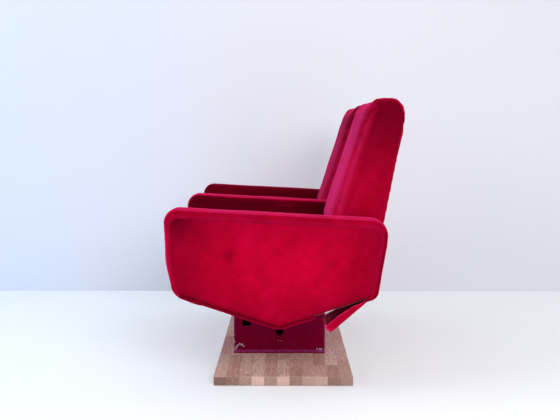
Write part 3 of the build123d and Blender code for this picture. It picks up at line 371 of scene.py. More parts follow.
def makeButcherBlock():
    # Staves along X: every block between two glue joints has its own tone, and the ends show end
    # grain.  The grain is moved from block to block, so that it breaks at the joints.
    material, tree, shader, place = newMaterial("butcherBlock", Coat_Weight=0.06, Coat_Roughness=0.4)
    across = maths(tree, "ADD", alongAxis(tree, place, 1), board["half"])
    row = maths(tree, "DIVIDE", across, board["stave"])
    rowNumber = maths(tree, "FLOOR", row)
    shift = addNode(tree, "TexWhiteNoise", {"W": rowNumber}, noise_dimensions="1D").outputs[0]
    run = maths(tree, "ADD", maths(tree, "DIVIDE", alongAxis(tree, place, 0), board["block"]),
                scaled(tree, shift, 7.0))
    block = addNode(tree, "CombineXYZ", {0: maths(tree, "FLOOR", run), 1: rowNumber, 2: board["seed"]})
    tone = addNode(tree, "TexWhiteNoise", {"Vector": block.outputs[0]}, noise_dimensions="3D").outputs[0]
    moved = addNode(tree, "CombineXYZ", {0: scaled(tree, tone, 3.0), 2: tone}).outputs[0]
    grainPlace = addNode(tree, "VectorMath", {0: place, 1: moved}, operation="ADD").outputs[0]
    grain = useGroup(tree, grainGroup, {"Place": grainPlace, "Scale": 70.0})
    flecks = between(tree, noise(tree, grainPlace, 260.0, 4.0, 0.75, (0.10, 1.0, 1.0)), 0.42, 0.62)
    tone = between(tree, tone, 0.05, 0.95)
    colour = blendColours(tree, tone, board["darkBlock"], board["paleBlock"])
    for marks, share, tint in ((grain["Streak"], 0.22, "streak"), (flecks, 0.50, "fleck"),
                               (grain["Pore"], 0.22, "pore")):
        colour = tinted(tree, colour, marks, share, board[tint])
    rings = between(tree, noise(tree, grainPlace, 130.0, 4.0, 0.7, (1.0, 0.9, 2.4)), 0.35, 0.65)
    endGrain = blendColours(tree, rings, board["ringDark"], board["ringPale"])
    endTone = blendColours(tree, tone, board["darkEnd"], board["paleEnd"])
    endColour = blendColours(tree, board["endShare"], endGrain, endTone)
    facing = maths(tree, "ABSOLUTE", alongAxis(tree, addNode(tree, "TexCoord").outputs["Normal"], 0))
    colour = blendColours(tree, between(tree, facing, 0.6, 0.8), colour, endColour)
    rowEdge, runEdge = (
        maths(tree, "ABSOLUTE", maths(tree, "SUBTRACT", maths(tree, "FRACT", count), 0.5))
        for count in (row, run))
    joint = maths(tree, "MAXIMUM", between(tree, rowEdge, 0.488, 0.497),
                  between(tree, runEdge, 0.4975, 0.4992))
    colour = tinted(tree, colour, joint, 0.34, board["glue"])
    dust = useGroup(tree, dustGroup, {"Place": place})["Dust"]
    fillSockets(tree, shader, {
        "Base Color": tinted(tree, colour, dust, 0.10, board["dustAndHighlight"]),
        "Roughness": scaled(tree, grain["Streak"], 0.12, 0.48),
    })
    height = scaled(tree, joint, -1.5, scaled(tree, grain["Pore"], -0.5))
    setBump(tree, shader, height, 0.35, 0.0005)
    return material


def makePlywood(name, light, dark):
    # Long grain, with the plies' edges as faint bands up the thickness.
    material, tree, shader, place = newMaterial(name, Specular_IOR_Level=0.25)
    grain = useGroup(tree, grainGroup, {"Place": place, "Scale": 55.0})
    plies = addNode(tree, "TexWave", {"Vector": place, "Scale": 95.0, "Distortion": 0.6},
                    bands_direction="Z").outputs[1]
    colour = blendColours(tree, grain["Streak"], light, dark)
    colour = tinted(tree, colour, plies, 0.18, dark)
    fillSockets(tree, shader, {
        "Base Color": tinted(tree, colour, grain["Pore"], 0.3, (0.16, 0.09, 0.05, 1)),
        "Roughness": scaled(tree, grain["Streak"], 0.15, 0.62),
    })
    setBump(tree, shader, grain["Pore"], 0.3, 0.0004)
    return material


def makeZinc():
    # Zinc plate: small crystal patches with a cloudy dullness.
    material, tree, shader, place = newMaterial("zincSteel", Metallic=1.0)
    cells = addNode(tree, "TexVoronoi", {"Vector": place, "Scale": 340.0}).outputs["Color"]
    cloud = noise(tree, place, 60.0, 4.0, 0.6)
    patch = addNode(tree, "SeparateColor", {0: cells}).outputs[0]
    tone = scaled(tree, patch, 0.3, scaled(tree, cloud, 0.7))
    fillSockets(tree, shader, {
        "Base Color": blendColours(tree, tone, (0.42, 0.42, 0.40, 1), (0.72, 0.71, 0.68, 1)),
        "Roughness": scaled(tree, tone, -0.2, 0.48),
    })
    setBump(tree, shader, cloud, 0.12, 0.0003)
    return material


def makeMoulded(name, dark, light, rough, scale):
    # Moulded rubber or nylon: fine skin with a dusty bloom.
    material, tree, shader, place = newMaterial(name, Specular_IOR_Level=0.35)
    skin = noise(tree, place, scale, 3.0, 0.6)
    dust = useGroup(tree, dustGroup, {"Place": place})["Dust"]
    colour = blendColours(tree, skin, dark, light)
    fillSockets(tree, shader, {
        "Base Color": tinted(tree, colour, dust, 0.2, (0.4, 0.38, 0.36, 1)),
        "Roughness": scaled(tree, skin, 0.15, rough),
    })
    setBump(tree, shader, skin, 0.3, 0.0004)
    return material


def makeLiningCloth():
    # Pale loose fibres.
    material, tree, shader, place = newMaterial("liningCloth", Roughness=1.0, Specular_IOR_Level=0.05)
    fibres = noise(tree, place, 500.0, 4.0, 0.7)
    pale = between(tree, fibres, 0.35, 0.65)
    colour = blendColours(tree, pale, (0.60, 0.46, 0.44, 1), (0.86, 0.76, 0.72, 1))
    fillSockets(tree, shader, {"Base Color": colour})
    setBump(tree, shader, fibres, 0.6, 0.001)
    return material


butcherBlock = makeButcherBlock()
plywood = makePlywood("plywood", (0.50, 0.36, 0.21, 1), (0.36, 0.23, 0.12, 1))
stainedPlywood = makePlywood("stainedPlywood", (0.050, 0.034, 0.028, 1), (0.026, 0.018, 0.015, 1))
# A darker copy of the plywood for the arm cores: painted shade, as the core shows only in shadow under the
# arms.
shadedCoreWood = makePlywood("shadedCoreWood", (0.17, 0.115, 0.085, 1), (0.11, 0.070, 0.050, 1))
zincSteel = makeZinc()
rubber = makeMoulded("blackRubber", (0.012, 0.012, 0.012, 1), (0.028, 0.027, 0.026, 1), 0.62, 380.0)
underlay = makeMoulded("underlayRubber", (0.014, 0.013, 0.013, 1), (0.04, 0.037, 0.035, 1), 0.80, 520.0)
liningCloth = makeLiningCloth()
nylon = makeMoulded("nylon", (0.70, 0.67, 0.58, 1), (0.82, 0.80, 0.72, 1), 0.38, 200.0)
slotMaterials = {
    "velvet": velvetArm, "worn_velvet": velvetTorn, "butcher_block": butcherBlock,
    "plywood": plywood, "stained_plywood": stainedPlywood, "underlay": underlay,
    "pedestal_paint": pedestalPaint, "frame_paint": framePaint, "zinc_steel": zincSteel,
    "buffer_rubber": rubber, "nylon": nylon,
}
for part in frame["record"]["subparts"]:
    # Arm cores take the shaded copy of the plywood.
    finish = shadedCoreWood if part["node"].endswith("arm_core") else slotMaterials[part["material_slot"]]
    for materialSlot in nodes[part["node"]].material_slots:
        materialSlot.material = finish
print("materials made")


# Shape helpers
def unit(vectors):
    return vectors / np.maximum(np.linalg.norm(vectors, axis=-1, keepdims=True), 1e-12)


def leftOf(directions):
    # Directions in the plane turned a quarter to the left.
    return np.stack([-directions[:, 1], directions[:, 0]], 1)


def smooth(values, low, high):
    share = np.clip((values - low) / (high - low), 0, 1)
    return share * share * (3 - 2 * share)


def bell(values, width):
    return np.exp(-(values / width) ** 2)


def waves(points, size, seed):
    # Soft waviness, about -1 to 1: ten plane waves of random direction, with lengths round size.
    rng = np.random.RandomState(seed)
    directions = unit(rng.normal(size=(10, 3)))
    lengths = size * rng.uniform(0.7, 1.6, 10)
    phases = rng.uniform(0, 2 * np.pi, 10)
    return np.sin(points @ (directions / lengths[:, None] * 2 * np.pi).T + phases).sum(-1) / 4.5


def insetCorners(corners, insets):
    # Each edge moves inwards by its own distance; neighbours meet again at new corners.
    along = unit(np.roll(corners, -1, 0) - corners)
    moved = corners + leftOf(along) * np.array(insets)[:, None]
    alongBefore, movedBefore = np.roll(along, 1, 0), np.roll(moved, 1, 0)
    step = moved - movedBefore
    cross = alongBefore[:, 0] * along[:, 1] - alongBefore[:, 1] * along[:, 0]
    reach = (step[:, 0] * along[:, 1] - step[:, 1] * along[:, 0]) / cross
    return movedBefore + alongBefore * reach[:, None]


def roundedOutline(corners, radii, arcSteps=14, runSteps=42):
    # Each corner becomes an arc that touches both its edges; the straight run after it is cut evenly.
    radii = np.array(radii)[:, None]
    along = unit(np.roll(corners, -1, 0) - corners)
    before = np.roll(along, 1, 0)
    cross = before[:, 0] * along[:, 1] - before[:, 1] * along[:, 0]
    turn = np.arctan2(cross, (before * along).sum(1))[:, None]
    centres = corners - before * radii * np.tan(turn / 2) + leftOf(before) * radii
    start = np.arctan2(-before[:, :1], before[:, 1:])
    angles = start + turn * np.linspace(0, 1, arcSteps + 1)
    arcs = centres[:, None] + radii[:, :, None] * np.stack([np.cos(angles), np.sin(angles)], 2)
    share = np.linspace(0, 1, runSteps + 2)[1:-1, None]
    runs = arcs[:, -1:] * (1 - share) + np.roll(arcs[:, :1], -1, 0) * share
    return np.concatenate([arcs, runs], 1).reshape(-1, 2)


def edgeDistance(points, corners):
    # How far inside the straight-sided outline each point lies, as the least of its edge distances,
    # and how far the edges near it are the lower ones, weighed by how close each is.
    inward = leftOf(unit(np.roll(corners, -1, 0) - corners))
    gaps = np.array([(points - corner) @ way for corner, way in zip(corners, inward)])
    nearest = gaps.min(0)
    closeness = 0.006
    weight = np.exp(-(gaps - nearest) / closeness)
    low = smooth(inward[:, 1], 0.4, 0.8)
    return nearest, (weight * low[:, None]).sum(0) / weight.sum(0)


def makePiece(name, points, faces, material):
    # Mesh object from a point array and a face array; turned outwards by its signed volume.
    points = np.asarray(points, float).reshape(-1, 3)
    flat = [face for block in faces for face in np.asarray(block).tolist()]
    fans = np.concatenate([np.asarray(block)[:, [0, k, k + 1]] for block in faces
                           for k in range(1, np.asarray(block).shape[1] - 1)])
    a, b, c = points[fans[:, 0]], points[fans[:, 1]], points[fans[:, 2]]
    if (a * np.cross(b, c)).sum() < 0:
        flat = [face[::-1] for face in flat]
    mesh = bpy.data.meshes.new(name)
    mesh.from_pydata(points.tolist(), [], flat)
    mesh.polygons.foreach_set("use_smooth", np.ones(len(flat), bool))
    mesh.materials.append(material)
    return addObject(name, mesh)


def gridFaces(rows, columns, rowsMeet=False, columnsMeet=False, first=0):
    # Quads of a grid of points, wrapped round where its rows or columns meet.
    index = first + np.arange(rows * columns).reshape(rows, columns)
    if rowsMeet:
        index = np.concatenate([index, index[:1]])
    if columnsMeet:
        index = np.concatenate([index, index[:, :1]], 1)
    corners = [index[:-1, :-1], index[1:, :-1], index[1:, 1:], index[:-1, 1:]]
    return np.stack([corner.ravel() for corner in corners], 1)


def readVectors(items, key):
    values = np.empty(len(items) * 3)
    items.foreach_get(key, values)
    return values.reshape(-1, 3)


def readPoints(piece):
    return readVectors(piece.data.vertices, "co")


def readNormals(piece):
    return readVectors(piece.data.vertex_normals, "vector")


def writePoints(piece, points):
    piece.data.vertices.foreach_set("co", np.asarray(points, float).ravel())
    piece.data.update()


def setRubSheenAndShade(piece, rubAndSheen, paintedShade=0.0):
    # Keeps at each point the pink of wear and painted sheen, and the painted shade.
    for name, values in (("rubAndSheen", rubAndSheen), ("paintedShade", paintedShade)):
        attribute = piece.data.attributes.get(name) or piece.data.attributes.new(name, "FLOAT", "POINT")
        values = np.broadcast_to(np.clip(values, 0, 1), len(attribute.data)).astype(np.float32)
        attribute.data.foreach_set("value", values)


def applyModifiers(piece):
    # The piece's mesh becomes what its modifiers make of it.
    graph = bpy.context.evaluated_depsgraph_get()
    mesh = bpy.data.meshes.new_from_object(piece.evaluated_get(graph))
    piece.modifiers.clear()
    piece.data = mesh
    mesh.polygons.foreach_set("use_smooth", np.ones(len(mesh.polygons), bool))


def thicken(piece, thickness, otherSide=0):
    # A sheet gets a thickness; its other side and its edges take that material of its list.
    solidify = piece.modifiers.new("thickness", "SOLIDIFY")
    solidify.thickness, solidify.offset = thickness, 0.0
    solidify.material_offset = solidify.material_offset_rim = otherSide
    applyModifiers(piece)


def cutAway(piece, cutters):
    # Exact boolean difference with each closed cutter, which is then removed.
    for cutter in cutters:
        modifier = piece.modifiers.new("cut", "BOOLEAN")
        modifier.object, modifier.solver, modifier.operation = cutter, "EXACT", "DIFFERENCE"
    applyModifiers(piece)
    for cutter in cutters:
        bpy.data.objects.remove(cutter)


def makePrism(name, outline, low, high, material):
    # Straight prism along X over a (y, z) outline.
    outline = np.asarray(outline, float)
    count = len(outline)
    ends = [np.column_stack([np.full(count, x), outline]) for x in (low, high)]
    caps = [np.arange(count)[None], np.arange(count)[None, ::-1] + count]
    return makePiece(name, np.concatenate(ends), [gridFaces(2, count, columnsMeet=True)] + caps, material)


def boxOutline(lowY, highY, lowZ, highZ):
    return [(lowY, lowZ), (highY, lowZ), (highY, highZ), (lowY, highZ)]


def finishPiece(piece, body, slotName, *replaced, fill=None):
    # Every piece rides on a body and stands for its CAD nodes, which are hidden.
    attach(piece, body)
    if replaced:
        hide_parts(*replaced)


# Arms
arm = {
    "corners": np.array([(-0.012, 0.210), (0.279, 0.3075), (0.3055, 0.465), (0.310, 0.541),
                         (-0.3525, 0.5755), (-0.346, 0.412), (-0.3255, 0.313)]),
    "radii": [0.070, 0.028, 0.120, 0.050, 0.042, 0.220, 0.052],
    "rims": np.array([0.010, 0.023, 0.023, 0.028, 0.019, 0.019, 0.010]),
    "innerRadii": [0.060, 0.014, 0.097, 0.026, 0.024, 0.201, 0.014],
    "half": 0.035, "coreHalf": 0.0253, "pad": 0.0077, "roll": 0.0095, "fill": 0.8,
    "crown": 0.0014, "faceSwell": 0.0006, "wave": 0.0007,
    "seamDip": 0.0004, "lowSeamDip": 0.0042, "seamReach": 0.0022,
    "stitchLines": (0.0015, 0.0085), "stitchHeight": 0.0005, "stitchWidth": 0.0010,
    "lapFrom": -0.300, "lapTo": -0.245, "lap": 0.0020,
    # Painted sheen and highlights on the roll, the front and the stitched ridges, then painted shade.
    "topRubAndSheen": 0.27, "frontSheen": 0.65, "stitchHighlight": 0.22, "rollSheenWidth": 0.006,
    "seatShade": {"left": 0.86, "middle": 0.94, "right": 0.85},
    "topShade": {"left": 0.0, "middle": 0.0, "right": 0.42},
    "rimShade": 0.42, "rearShade": 0.80, "upperShade": 0.38, "lowShade": 0.70,
}
armPlaces = {"left": 0.540, "middle": 0.0, "right": -0.540}
beam = {"front": -0.0432, "rear": 0.0192, "top": 0.2732, "deck": 0.2224, "below": 0.1,
        "cleatTop": 0.3232, "plateFront": -0.0932, "plateRear": 0.0692, "plateTop": 0.3312}
tear = {"front": 0.093, "rear": 0.248, "slope": 0.3351, "height": 0.0110, "from": 0.50, "to": 0.58,
        "ragged": 0.0022, "teeth": (0, 1, -1, 0.6, -0.4, 0.9, -0.8, 0.5, 0)}


def makeBorder(label, armX):
    # A ring: at every station of the outline a closed loop runs out over the band, round the
    # roll, down the rim to its seam, and back along the core.  Depth is measured from the outline
    # towards the matching station of the opening.  Lower edges have a deep seam, the others a
    # shallow one with two stitched ridges, and the band's end laps over under the chin.
    outer = roundedOutline(arm["corners"], arm["radii"])
    inner = roundedOutline(insetCorners(arm["corners"], arm["rims"]), arm["innerRadii"])
    width = np.linalg.norm(inner - outer, axis=1)[:, None]
    way = (inner - outer) / width
    low = smooth(way[:, 1:], 0.4, 0.8)
    flat = arm["half"] - arm["roll"]
    band = np.linspace(0, flat, 8)[None]
    quarter = np.linspace(0, np.pi / 2, 9)[None, 1:]
    fall = np.linspace(0, 1, 25)[None, 1:]
    ones = np.ones_like(width)
    rimDepth = arm["roll"] + (width - arm["roll"]) * fall
    toSeam = width - rimDepth
    dip = arm["seamDip"] * (1 - low) + arm["lowSeamDip"] * low
    ridges = sum(bell(toSeam - out, arm["stitchWidth"]) for out in arm["stitchLines"])
    ridges = ridges * (1 - low)
    face = arm["half"] + arm["faceSwell"] * np.sin(np.pi * fall) - dip * bell(toSeam, arm["seamReach"])
    depth = np.concatenate([
        ones * -arm["crown"] * (1 - (band / flat) ** 2), ones * arm["roll"] * (1 - np.cos(quarter)),
        rimDepth, width, width * 0.6 + arm["pad"] * 0.4, ones * arm["pad"], ones * arm["pad"]], 1)
    across = np.concatenate([
        ones * band, ones * (flat + arm["roll"] * np.sin(quarter)), face + arm["stitchHeight"] * ridges,
        ones * arm["coreHalf"], ones * arm["coreHalf"], ones * arm["coreHalf"], ones * 0.0], 1)
    # Painted sheen along the top and front of the roll, and painted highlights on the stitched ridges,
    # lighten towards pink.
    rolled = bell(across - flat - 0.55 * arm["roll"], arm["rollSheenWidth"]) * (depth < 0.5 * arm["roll"])
    rubAndSheen = arm["topRubAndSheen"] * smooth(-way[:, 1:], 0.2, 0.8) + arm["frontSheen"] * smooth(way[:, :1], 0.5, 0.95)
    rubAndSheen = rolled * rubAndSheen
    rimStart = band.shape[1] + quarter.shape[1]
    rubAndSheen[:, rimStart:rimStart + fall.shape[1]] += arm["stitchHighlight"] * ridges
    depth, rubAndSheen = (np.concatenate([half, half[:, -2:0:-1]], 1) for half in (depth, rubAndSheen))
    across = np.concatenate([across, -across[:, -2:0:-1]], 1)
    plane = outer[:, None] + way[:, None] * depth[:, :, None]
    points = np.concatenate([armX + across[:, :, None], plane], 2)
    skin = (np.abs(across) > arm["coreHalf"] + 0.0015) | (depth < arm["pad"] - 0.002)
    push = arm["wave"] * waves(points, 0.09, 11) + 0.4 * arm["wave"] * waves(points, 0.03, 12)
    lapped = smooth(points[:, :, 1], arm["lapFrom"], arm["lapFrom"] + 0.03)
    lapped *= smooth(points[:, :, 1], arm["lapTo"] + 0.0016, arm["lapTo"]) * low
    push += arm["lap"] * lapped * (depth < arm["roll"] * 0.8)
    outward = np.concatenate([np.where(depth > 0.002, np.sign(across), 0)[:, :, None],
                              -way[:, None] * (depth < arm["roll"] * 0.8)[:, :, None]], 2)
    push = push * skin * (np.abs(outward).sum(2) > 0)
    points = points + unit(outward + 1e-9) * push[:, :, None]
    rows, columns = depth.shape
    border = makePiece(label + "ArmBorder", points, [gridFaces(rows, columns, True, True)], velvetArm)
    # Painted shade on the upright rims, most at the rear edge, along the top rim and in the deep seam of
    # the lower edges.
    rising = smooth(np.abs(way[:, :1]), 0.75, 0.97)
    rear = smooth(-way[:, :1], 0.75, 0.97)
    edge = smooth(depth, arm["roll"] * 1.8, 0.3 * arm["roll"])
    shade = arm["rimShade"] * rising * (1 - edge) + arm["rearShade"] * rear * edge
    shade = shade + arm["upperShade"] * (1 - rising) * (1 - low)
    shade = shade * (depth > 0.3 * arm["roll"]) + arm["lowShade"] * low * smooth(depth, 0.001, 0.005)
    paintedShade = np.maximum(armPaintedShade(label, armX, points.reshape(-1, 3)), shade.ravel())
    setRubSheenAndShade(border, rubAndSheen.ravel(), paintedShade)
    return border


def armPaintedShade(label, armX, points):
    # Painted shade: the sides that face a seat are darker, and so, less, are the two farther tops.
    offset, top, seat = points[:, 0] - armX, arm["topShade"][label], arm["seatShade"][label]
    if label == "middle":
        return top + (seat - top) * smooth(np.abs(offset), 0.030, 0.036)
    return top + (seat - top) * smooth(-np.sign(armX) * offset, 0.010, 0.033)


def edgeHeight(y, inset=0.0):
    # Height of the arm's sloping lower edge at y, moved inwards.
    heelY, heelZ = arm["corners"][1]
    return heelZ + (y - heelY) * tear["slope"] + inset * math.hypot(1, tear["slope"])


def makeCutter(outline, *ends):
    return makePrism("cut", outline, min(ends), max(ends), velvetArm)


def beamCuts(notch, centre, ends, fromBelow):
    # A notch along X for the beam; over the middle of the pair it is open down to the bottom.
    cuts = [makeCutter(boxOutline(*notch), *ends)]
    if fromBelow:
        under = boxOutline(-0.5, 0.5, beam["below"], beam["deck"])
        cuts.append(makeCutter(under, centre - 0.06, centre + 0.06))
    return cuts


def borderCuts(label, armX):
    # Room for the beam and, on the left arm, the length where the band is torn off.
    inwards = -np.sign(armX)
    ends = (armX + inwards * 0.0251, armX + inwards * 0.05) if inwards else (-0.05, 0.05)
    cuts = beamCuts((beam["front"], beam["rear"], beam["below"], beam["top"]), armX, ends, not inwards)
    if label == "left":
        jag = tear["ragged"] * np.array(tear["teeth"])
        rise = tear["height"] * np.linspace(-1, 1, len(jag))
        front = np.column_stack([tear["front"] + jag, edgeHeight(tear["front"]) + rise])
        rear = np.column_stack([tear["rear"] - np.abs(jag), edgeHeight(tear["rear"]) + rise])
        cuts.append(makeCutter(np.concatenate([rear, front[::-1]]), tear["from"], tear["to"]))
    return cuts


def panelCuts(label, armX, side):
    # The faces that meet a seat are open for the beam and its plates.
    ends = armX + side * 0.02, armX + side * 0.06
    if label == "middle":
        return beamCuts((beam["front"], beam["rear"], beam["below"], beam["cleatTop"]), armX, ends, True)
    if side * armX < 0:
        notch = beam["plateFront"], beam["plateRear"], beam["below"], beam["plateTop"]
        return beamCuts(notch, armX, ends, False)
    return []


panel = {
    "gap": 0.0005, "back": 0.0254, "face": 0.0096, "edgeDrop": 0.0005, "lowEdgeDrop": 0.0046,
    "edgeReach": 0.0036, "crown": 0.0014, "dent": 0.0006, "rings": 48, "fill": 0.5,
    # Amounts and reaches of painted shade on the outer face.
    "endShade": 0.26, "topShade": 0.09, "lowShades": ((0.30, 0.010), (0.16, 0.030)),
    "roundShade": 0.17, "roundMiddle": (-0.02, 0.405), "roundReach": (0.30, 0.14),
    "cornerShade": 0.42, "corner": (-0.31, 0.545), "cornerReach": 0.036,
}


def outerPaintedShade(plane, distance, low):
    # Painted shade on the outer face: it darkens towards its ends and top, away from its middle,
    # along its lower edges and in its front top corner.
    along, up = plane[:, :, 0], plane[:, :, 1]
    paintedShade = panel["endShade"] * smooth(np.abs(along + 0.01), 0.17, 0.315)
    paintedShade += panel["topShade"] * smooth(up, 0.43, 0.53)
    fromMiddle = np.linalg.norm((plane - panel["roundMiddle"]) / panel["roundReach"], axis=2)
    paintedShade += panel["roundShade"] * smooth(fromMiddle, 0.25, 1.0)
    paintedShade += low * sum(most * np.exp(-np.maximum(distance, 0) / reach) for most, reach in panel["lowShades"])
    fromCorner = np.linalg.norm(plane - panel["corner"], axis=2)
    return paintedShade + panel["cornerShade"] * np.exp(-fromCorner / panel["cornerReach"])


def makePanel(label, armX, side):
    # Rings shrink from the outline to a pole; the face drops softly at its edge and swells a
    # little in the middle, and a flat back closes it.
    corners = insetCorners(arm["corners"], arm["rims"] + panel["gap"])
    edge = roundedOutline(corners, arm["innerRadii"])
    middle = corners.mean(0)
    size = np.concatenate([[1.0], 1 - np.linspace(0, 1, panel["rings"]) ** 1.7])[:, None, None]
    plane = middle + (edge - middle) * size[:-1]
    distance, low = edgeDistance(plane.reshape(-1, 2), corners)
    distance, low = distance.reshape(plane.shape[:2]), low.reshape(plane.shape[:2])
    drop = panel["edgeDrop"] * (1 - low) + panel["lowEdgeDrop"] * low
    height = panel["face"] - drop * np.exp(-np.maximum(distance, 0) / panel["edgeReach"])
    height += panel["crown"] * smooth(distance, 0.0, 0.09)
    seedPoints = np.concatenate([np.full(plane.shape[:2] + (1,), armX + side), plane], 2)
    dents = waves(seedPoints, 0.16, 21) + 0.4 * waves(seedPoints, 0.05, 22)
    height += panel["dent"] * smooth(distance, 0.0, 0.03) * dents
    height[0] = 0.0
    x = armX + side * (panel["back"] + height)
    points = np.concatenate([x[:, :, None], plane], 2)
    rows, columns = height.shape
    top = [[armX + side * (panel["back"] + height[-1].mean()), *middle]]
    bottom = [[armX + side * panel["back"], *middle]]
    ring = np.arange(columns)
    follow = np.roll(ring, -1)
    last = (rows - 1) * columns
    poles = [np.column_stack([last + ring, np.full(columns, rows * columns), last + follow]),
             np.column_stack([ring, follow, np.full(columns, rows * columns + 1)])]
    points = np.concatenate([points.reshape(-1, 3), top, bottom])
    piece = makePiece(f"{label}Arm{'Left' if side > 0 else 'Right'}Panel", points,
                      [gridFaces(rows, columns, columnsMeet=True)] + poles, velvetArm)
    # Painted shade: faces that meet a seat take their arm's even amount, the outer faces their own pattern.
    facesSeat = label == "middle" or side * armX < 0
    paintedShade = arm["seatShade"][label]
    if not facesSeat:
        shade = outerPaintedShade(plane, distance, low)
        paintedShade = np.concatenate([shade.ravel(), shade[-1, :2]])
    setRubSheenAndShade(piece, 0.0, paintedShade)
    return piece


for label, armX in armPlaces.items():
    border = makeBorder(label, armX)
    cutAway(border, borderCuts(label, armX))
    finishPiece(border, "frame", "velvet", label + "_arm_border", fill=arm["fill"])
    for side, sideName in ((1, "left"), (-1, "right")):
        piece = makePanel(label, armX, side)
        cuts = panelCuts(label, armX, side)
        if cuts:
            cutAway(piece, cuts)
        finishPiece(piece, "frame", "velvet", f"{label}_arm_{sideName}_panel", fill=panel["fill"])
print("arms made")


# The torn length of band
strip = {
    "path": [(0.140, 0.2035), (0.184, 0.2415), (0.217, 0.271), (0.236, 0.287), (0.2475, 0.2978)],
    "fold": [0.0248, 0.0238, 0.0170, 0.0090, 0.0050], "innerEdge": 0.5105, "outerEdge": 0.5738,
    "corner": 0.003, "lean": 0.0008, "thick": 0.0024, "lift": 0.0018, "twist": 0.013,
    "wave": 0.0010, "curl": 0.0006, "ragged": 0.0024, "raggedReach": 0.020,
    "foldRub": 0.5, "endRub": 0.8, "frayReach": 0.004, "fluffReach": 0.040,
    "flat": (0.117, 0.1425), "area": 0.0147,
}


def makeStrip():
    # A sheet on a grid: along the torn band's path, and from the edge of its far fold down, across
    # the web and up the near fold.  Its far side lifts and its free end is ragged.
    path = np.array(strip["path"])
    length = np.concatenate([[0], np.cumsum(np.linalg.norm(np.diff(path, axis=0), axis=1))])
    along = np.linspace(0, length[-1], 72)
    line = np.stack([np.interp(along, length, path[:, k]) for k in (0, 1)], 1)
    for _ in range(12):
        line[1:-1] = (line[:-2] + 2 * line[1:-1] + line[2:]) / 4
    direction = unit(np.gradient(line, axis=0))
    normal = leftOf(direction)
    fold = np.interp(along, length, strip["fold"])[:, None]
    ones = np.ones_like(fold)
    corner, inner, outer = strip["corner"], strip["innerEdge"], strip["outerEdge"]
    turn = np.linspace(0, np.pi / 2, 6)[None, 1:]
    up = np.linspace(0, 1, 12)[None, 1:]
    web = np.linspace(inner + corner, outer - corner, 26)[None] * ones
    nearX = np.concatenate([ones * (outer - corner + corner * np.sin(turn)),
                            outer - ones * strip["lean"] * up], 1)
    nearHeight = np.concatenate([ones * corner * (1 - np.cos(turn)),
                                 corner + np.maximum(fold - corner, 0.001) * up], 1)
    x = np.concatenate([inner + outer - nearX[:, ::-1], web, nearX], 1)
    height = np.concatenate([nearHeight[:, ::-1], 0 * web, nearHeight], 1)
    free = smooth(along, length[-1] * 0.8, 0)[:, None]
    height = height + strip["lift"] + strip["twist"] * free * (outer - x) / (outer - inner)
    seeds = np.stack([x, height, np.zeros_like(x)], 2)
    shift = strip["ragged"] * np.exp(-along / strip["raggedReach"])[:, None]
    slide = shift * (waves(seeds, 0.012, 31) + 0.5 * waves(seeds, 0.005, 32))
    plane = line[:, None] + normal[:, None] * height[:, :, None] + direction[:, None] * slide[:, :, None]
    points = np.concatenate([x[:, :, None], plane], 2)
    loose = smooth(along, length[-1], length[-1] - 0.02)[:, None]
    ripple = strip["wave"] * waves(points, 0.035, 33) * loose
    points[:, :, 1:] += normal[:, None] * (ripple * (np.abs(x - (inner + outer) / 2) < 0.026))[:, :, None]
    points[:, :, 0] -= strip["curl"] * (1 - waves(points, 0.03, 34)) * (height > corner + strip["lift"])
    rows, columns = x.shape
    piece = makePiece("leftArmLooseStrip", points, [gridFaces(rows, columns)], velvetTorn)
    piece.data.materials.append(tornBacking)
    if sum(face.normal.z for face in piece.data.polygons) > 0:
        piece.data.flip_normals()
    rubbedAndSheen = np.exp(-(fold + strip["lift"] - height) / 0.0015) * (x > outer - 0.004)
    frayed = ones * np.exp(-along / strip["frayReach"])[:, None]
    setRubSheenAndShade(piece, (strip["foldRub"] * rubbedAndSheen + strip["endRub"] * frayed).ravel())
    fluff = np.broadcast_to(np.exp(-along / strip["fluffReach"])[:, None], x.shape).astype(np.float32)
    piece.data.attributes.new("fluff", "FLOAT", "POINT").data.foreach_set("value", fluff.ravel())
    thicken(piece, strip["thick"], 1)
    return piece, length[-1]


stripPiece, stripLength = makeStrip()
finishPiece(stripPiece, "frame", "worn_velvet", "left_arm_loose_strip")
stripArea = sum(face.area for face in stripPiece.data.polygons) / 2
print("loose strip made, one side", round(stripArea, 5), "square metres, length", round(stripLength, 4))


# What the tear bares: a raw edge of lining and a row of staples
bared = {"from": 0.098, "to": 0.244, "staples": 11, "stray": 0.003, "across": (0.004, 0.019), "tilt": 0.5,
         "leg": 0.0035, "wire": 0.0007, "crown": 0.010, "stapleInset": 0.0078, "liningFrom": 0.124,
         "liningTo": 0.162, "liningThick": 0.0012, "liningReach": 0.0046, "liningX": 0.5690,
         "liningInset": 0.0112, "liningWave": 0.0010}


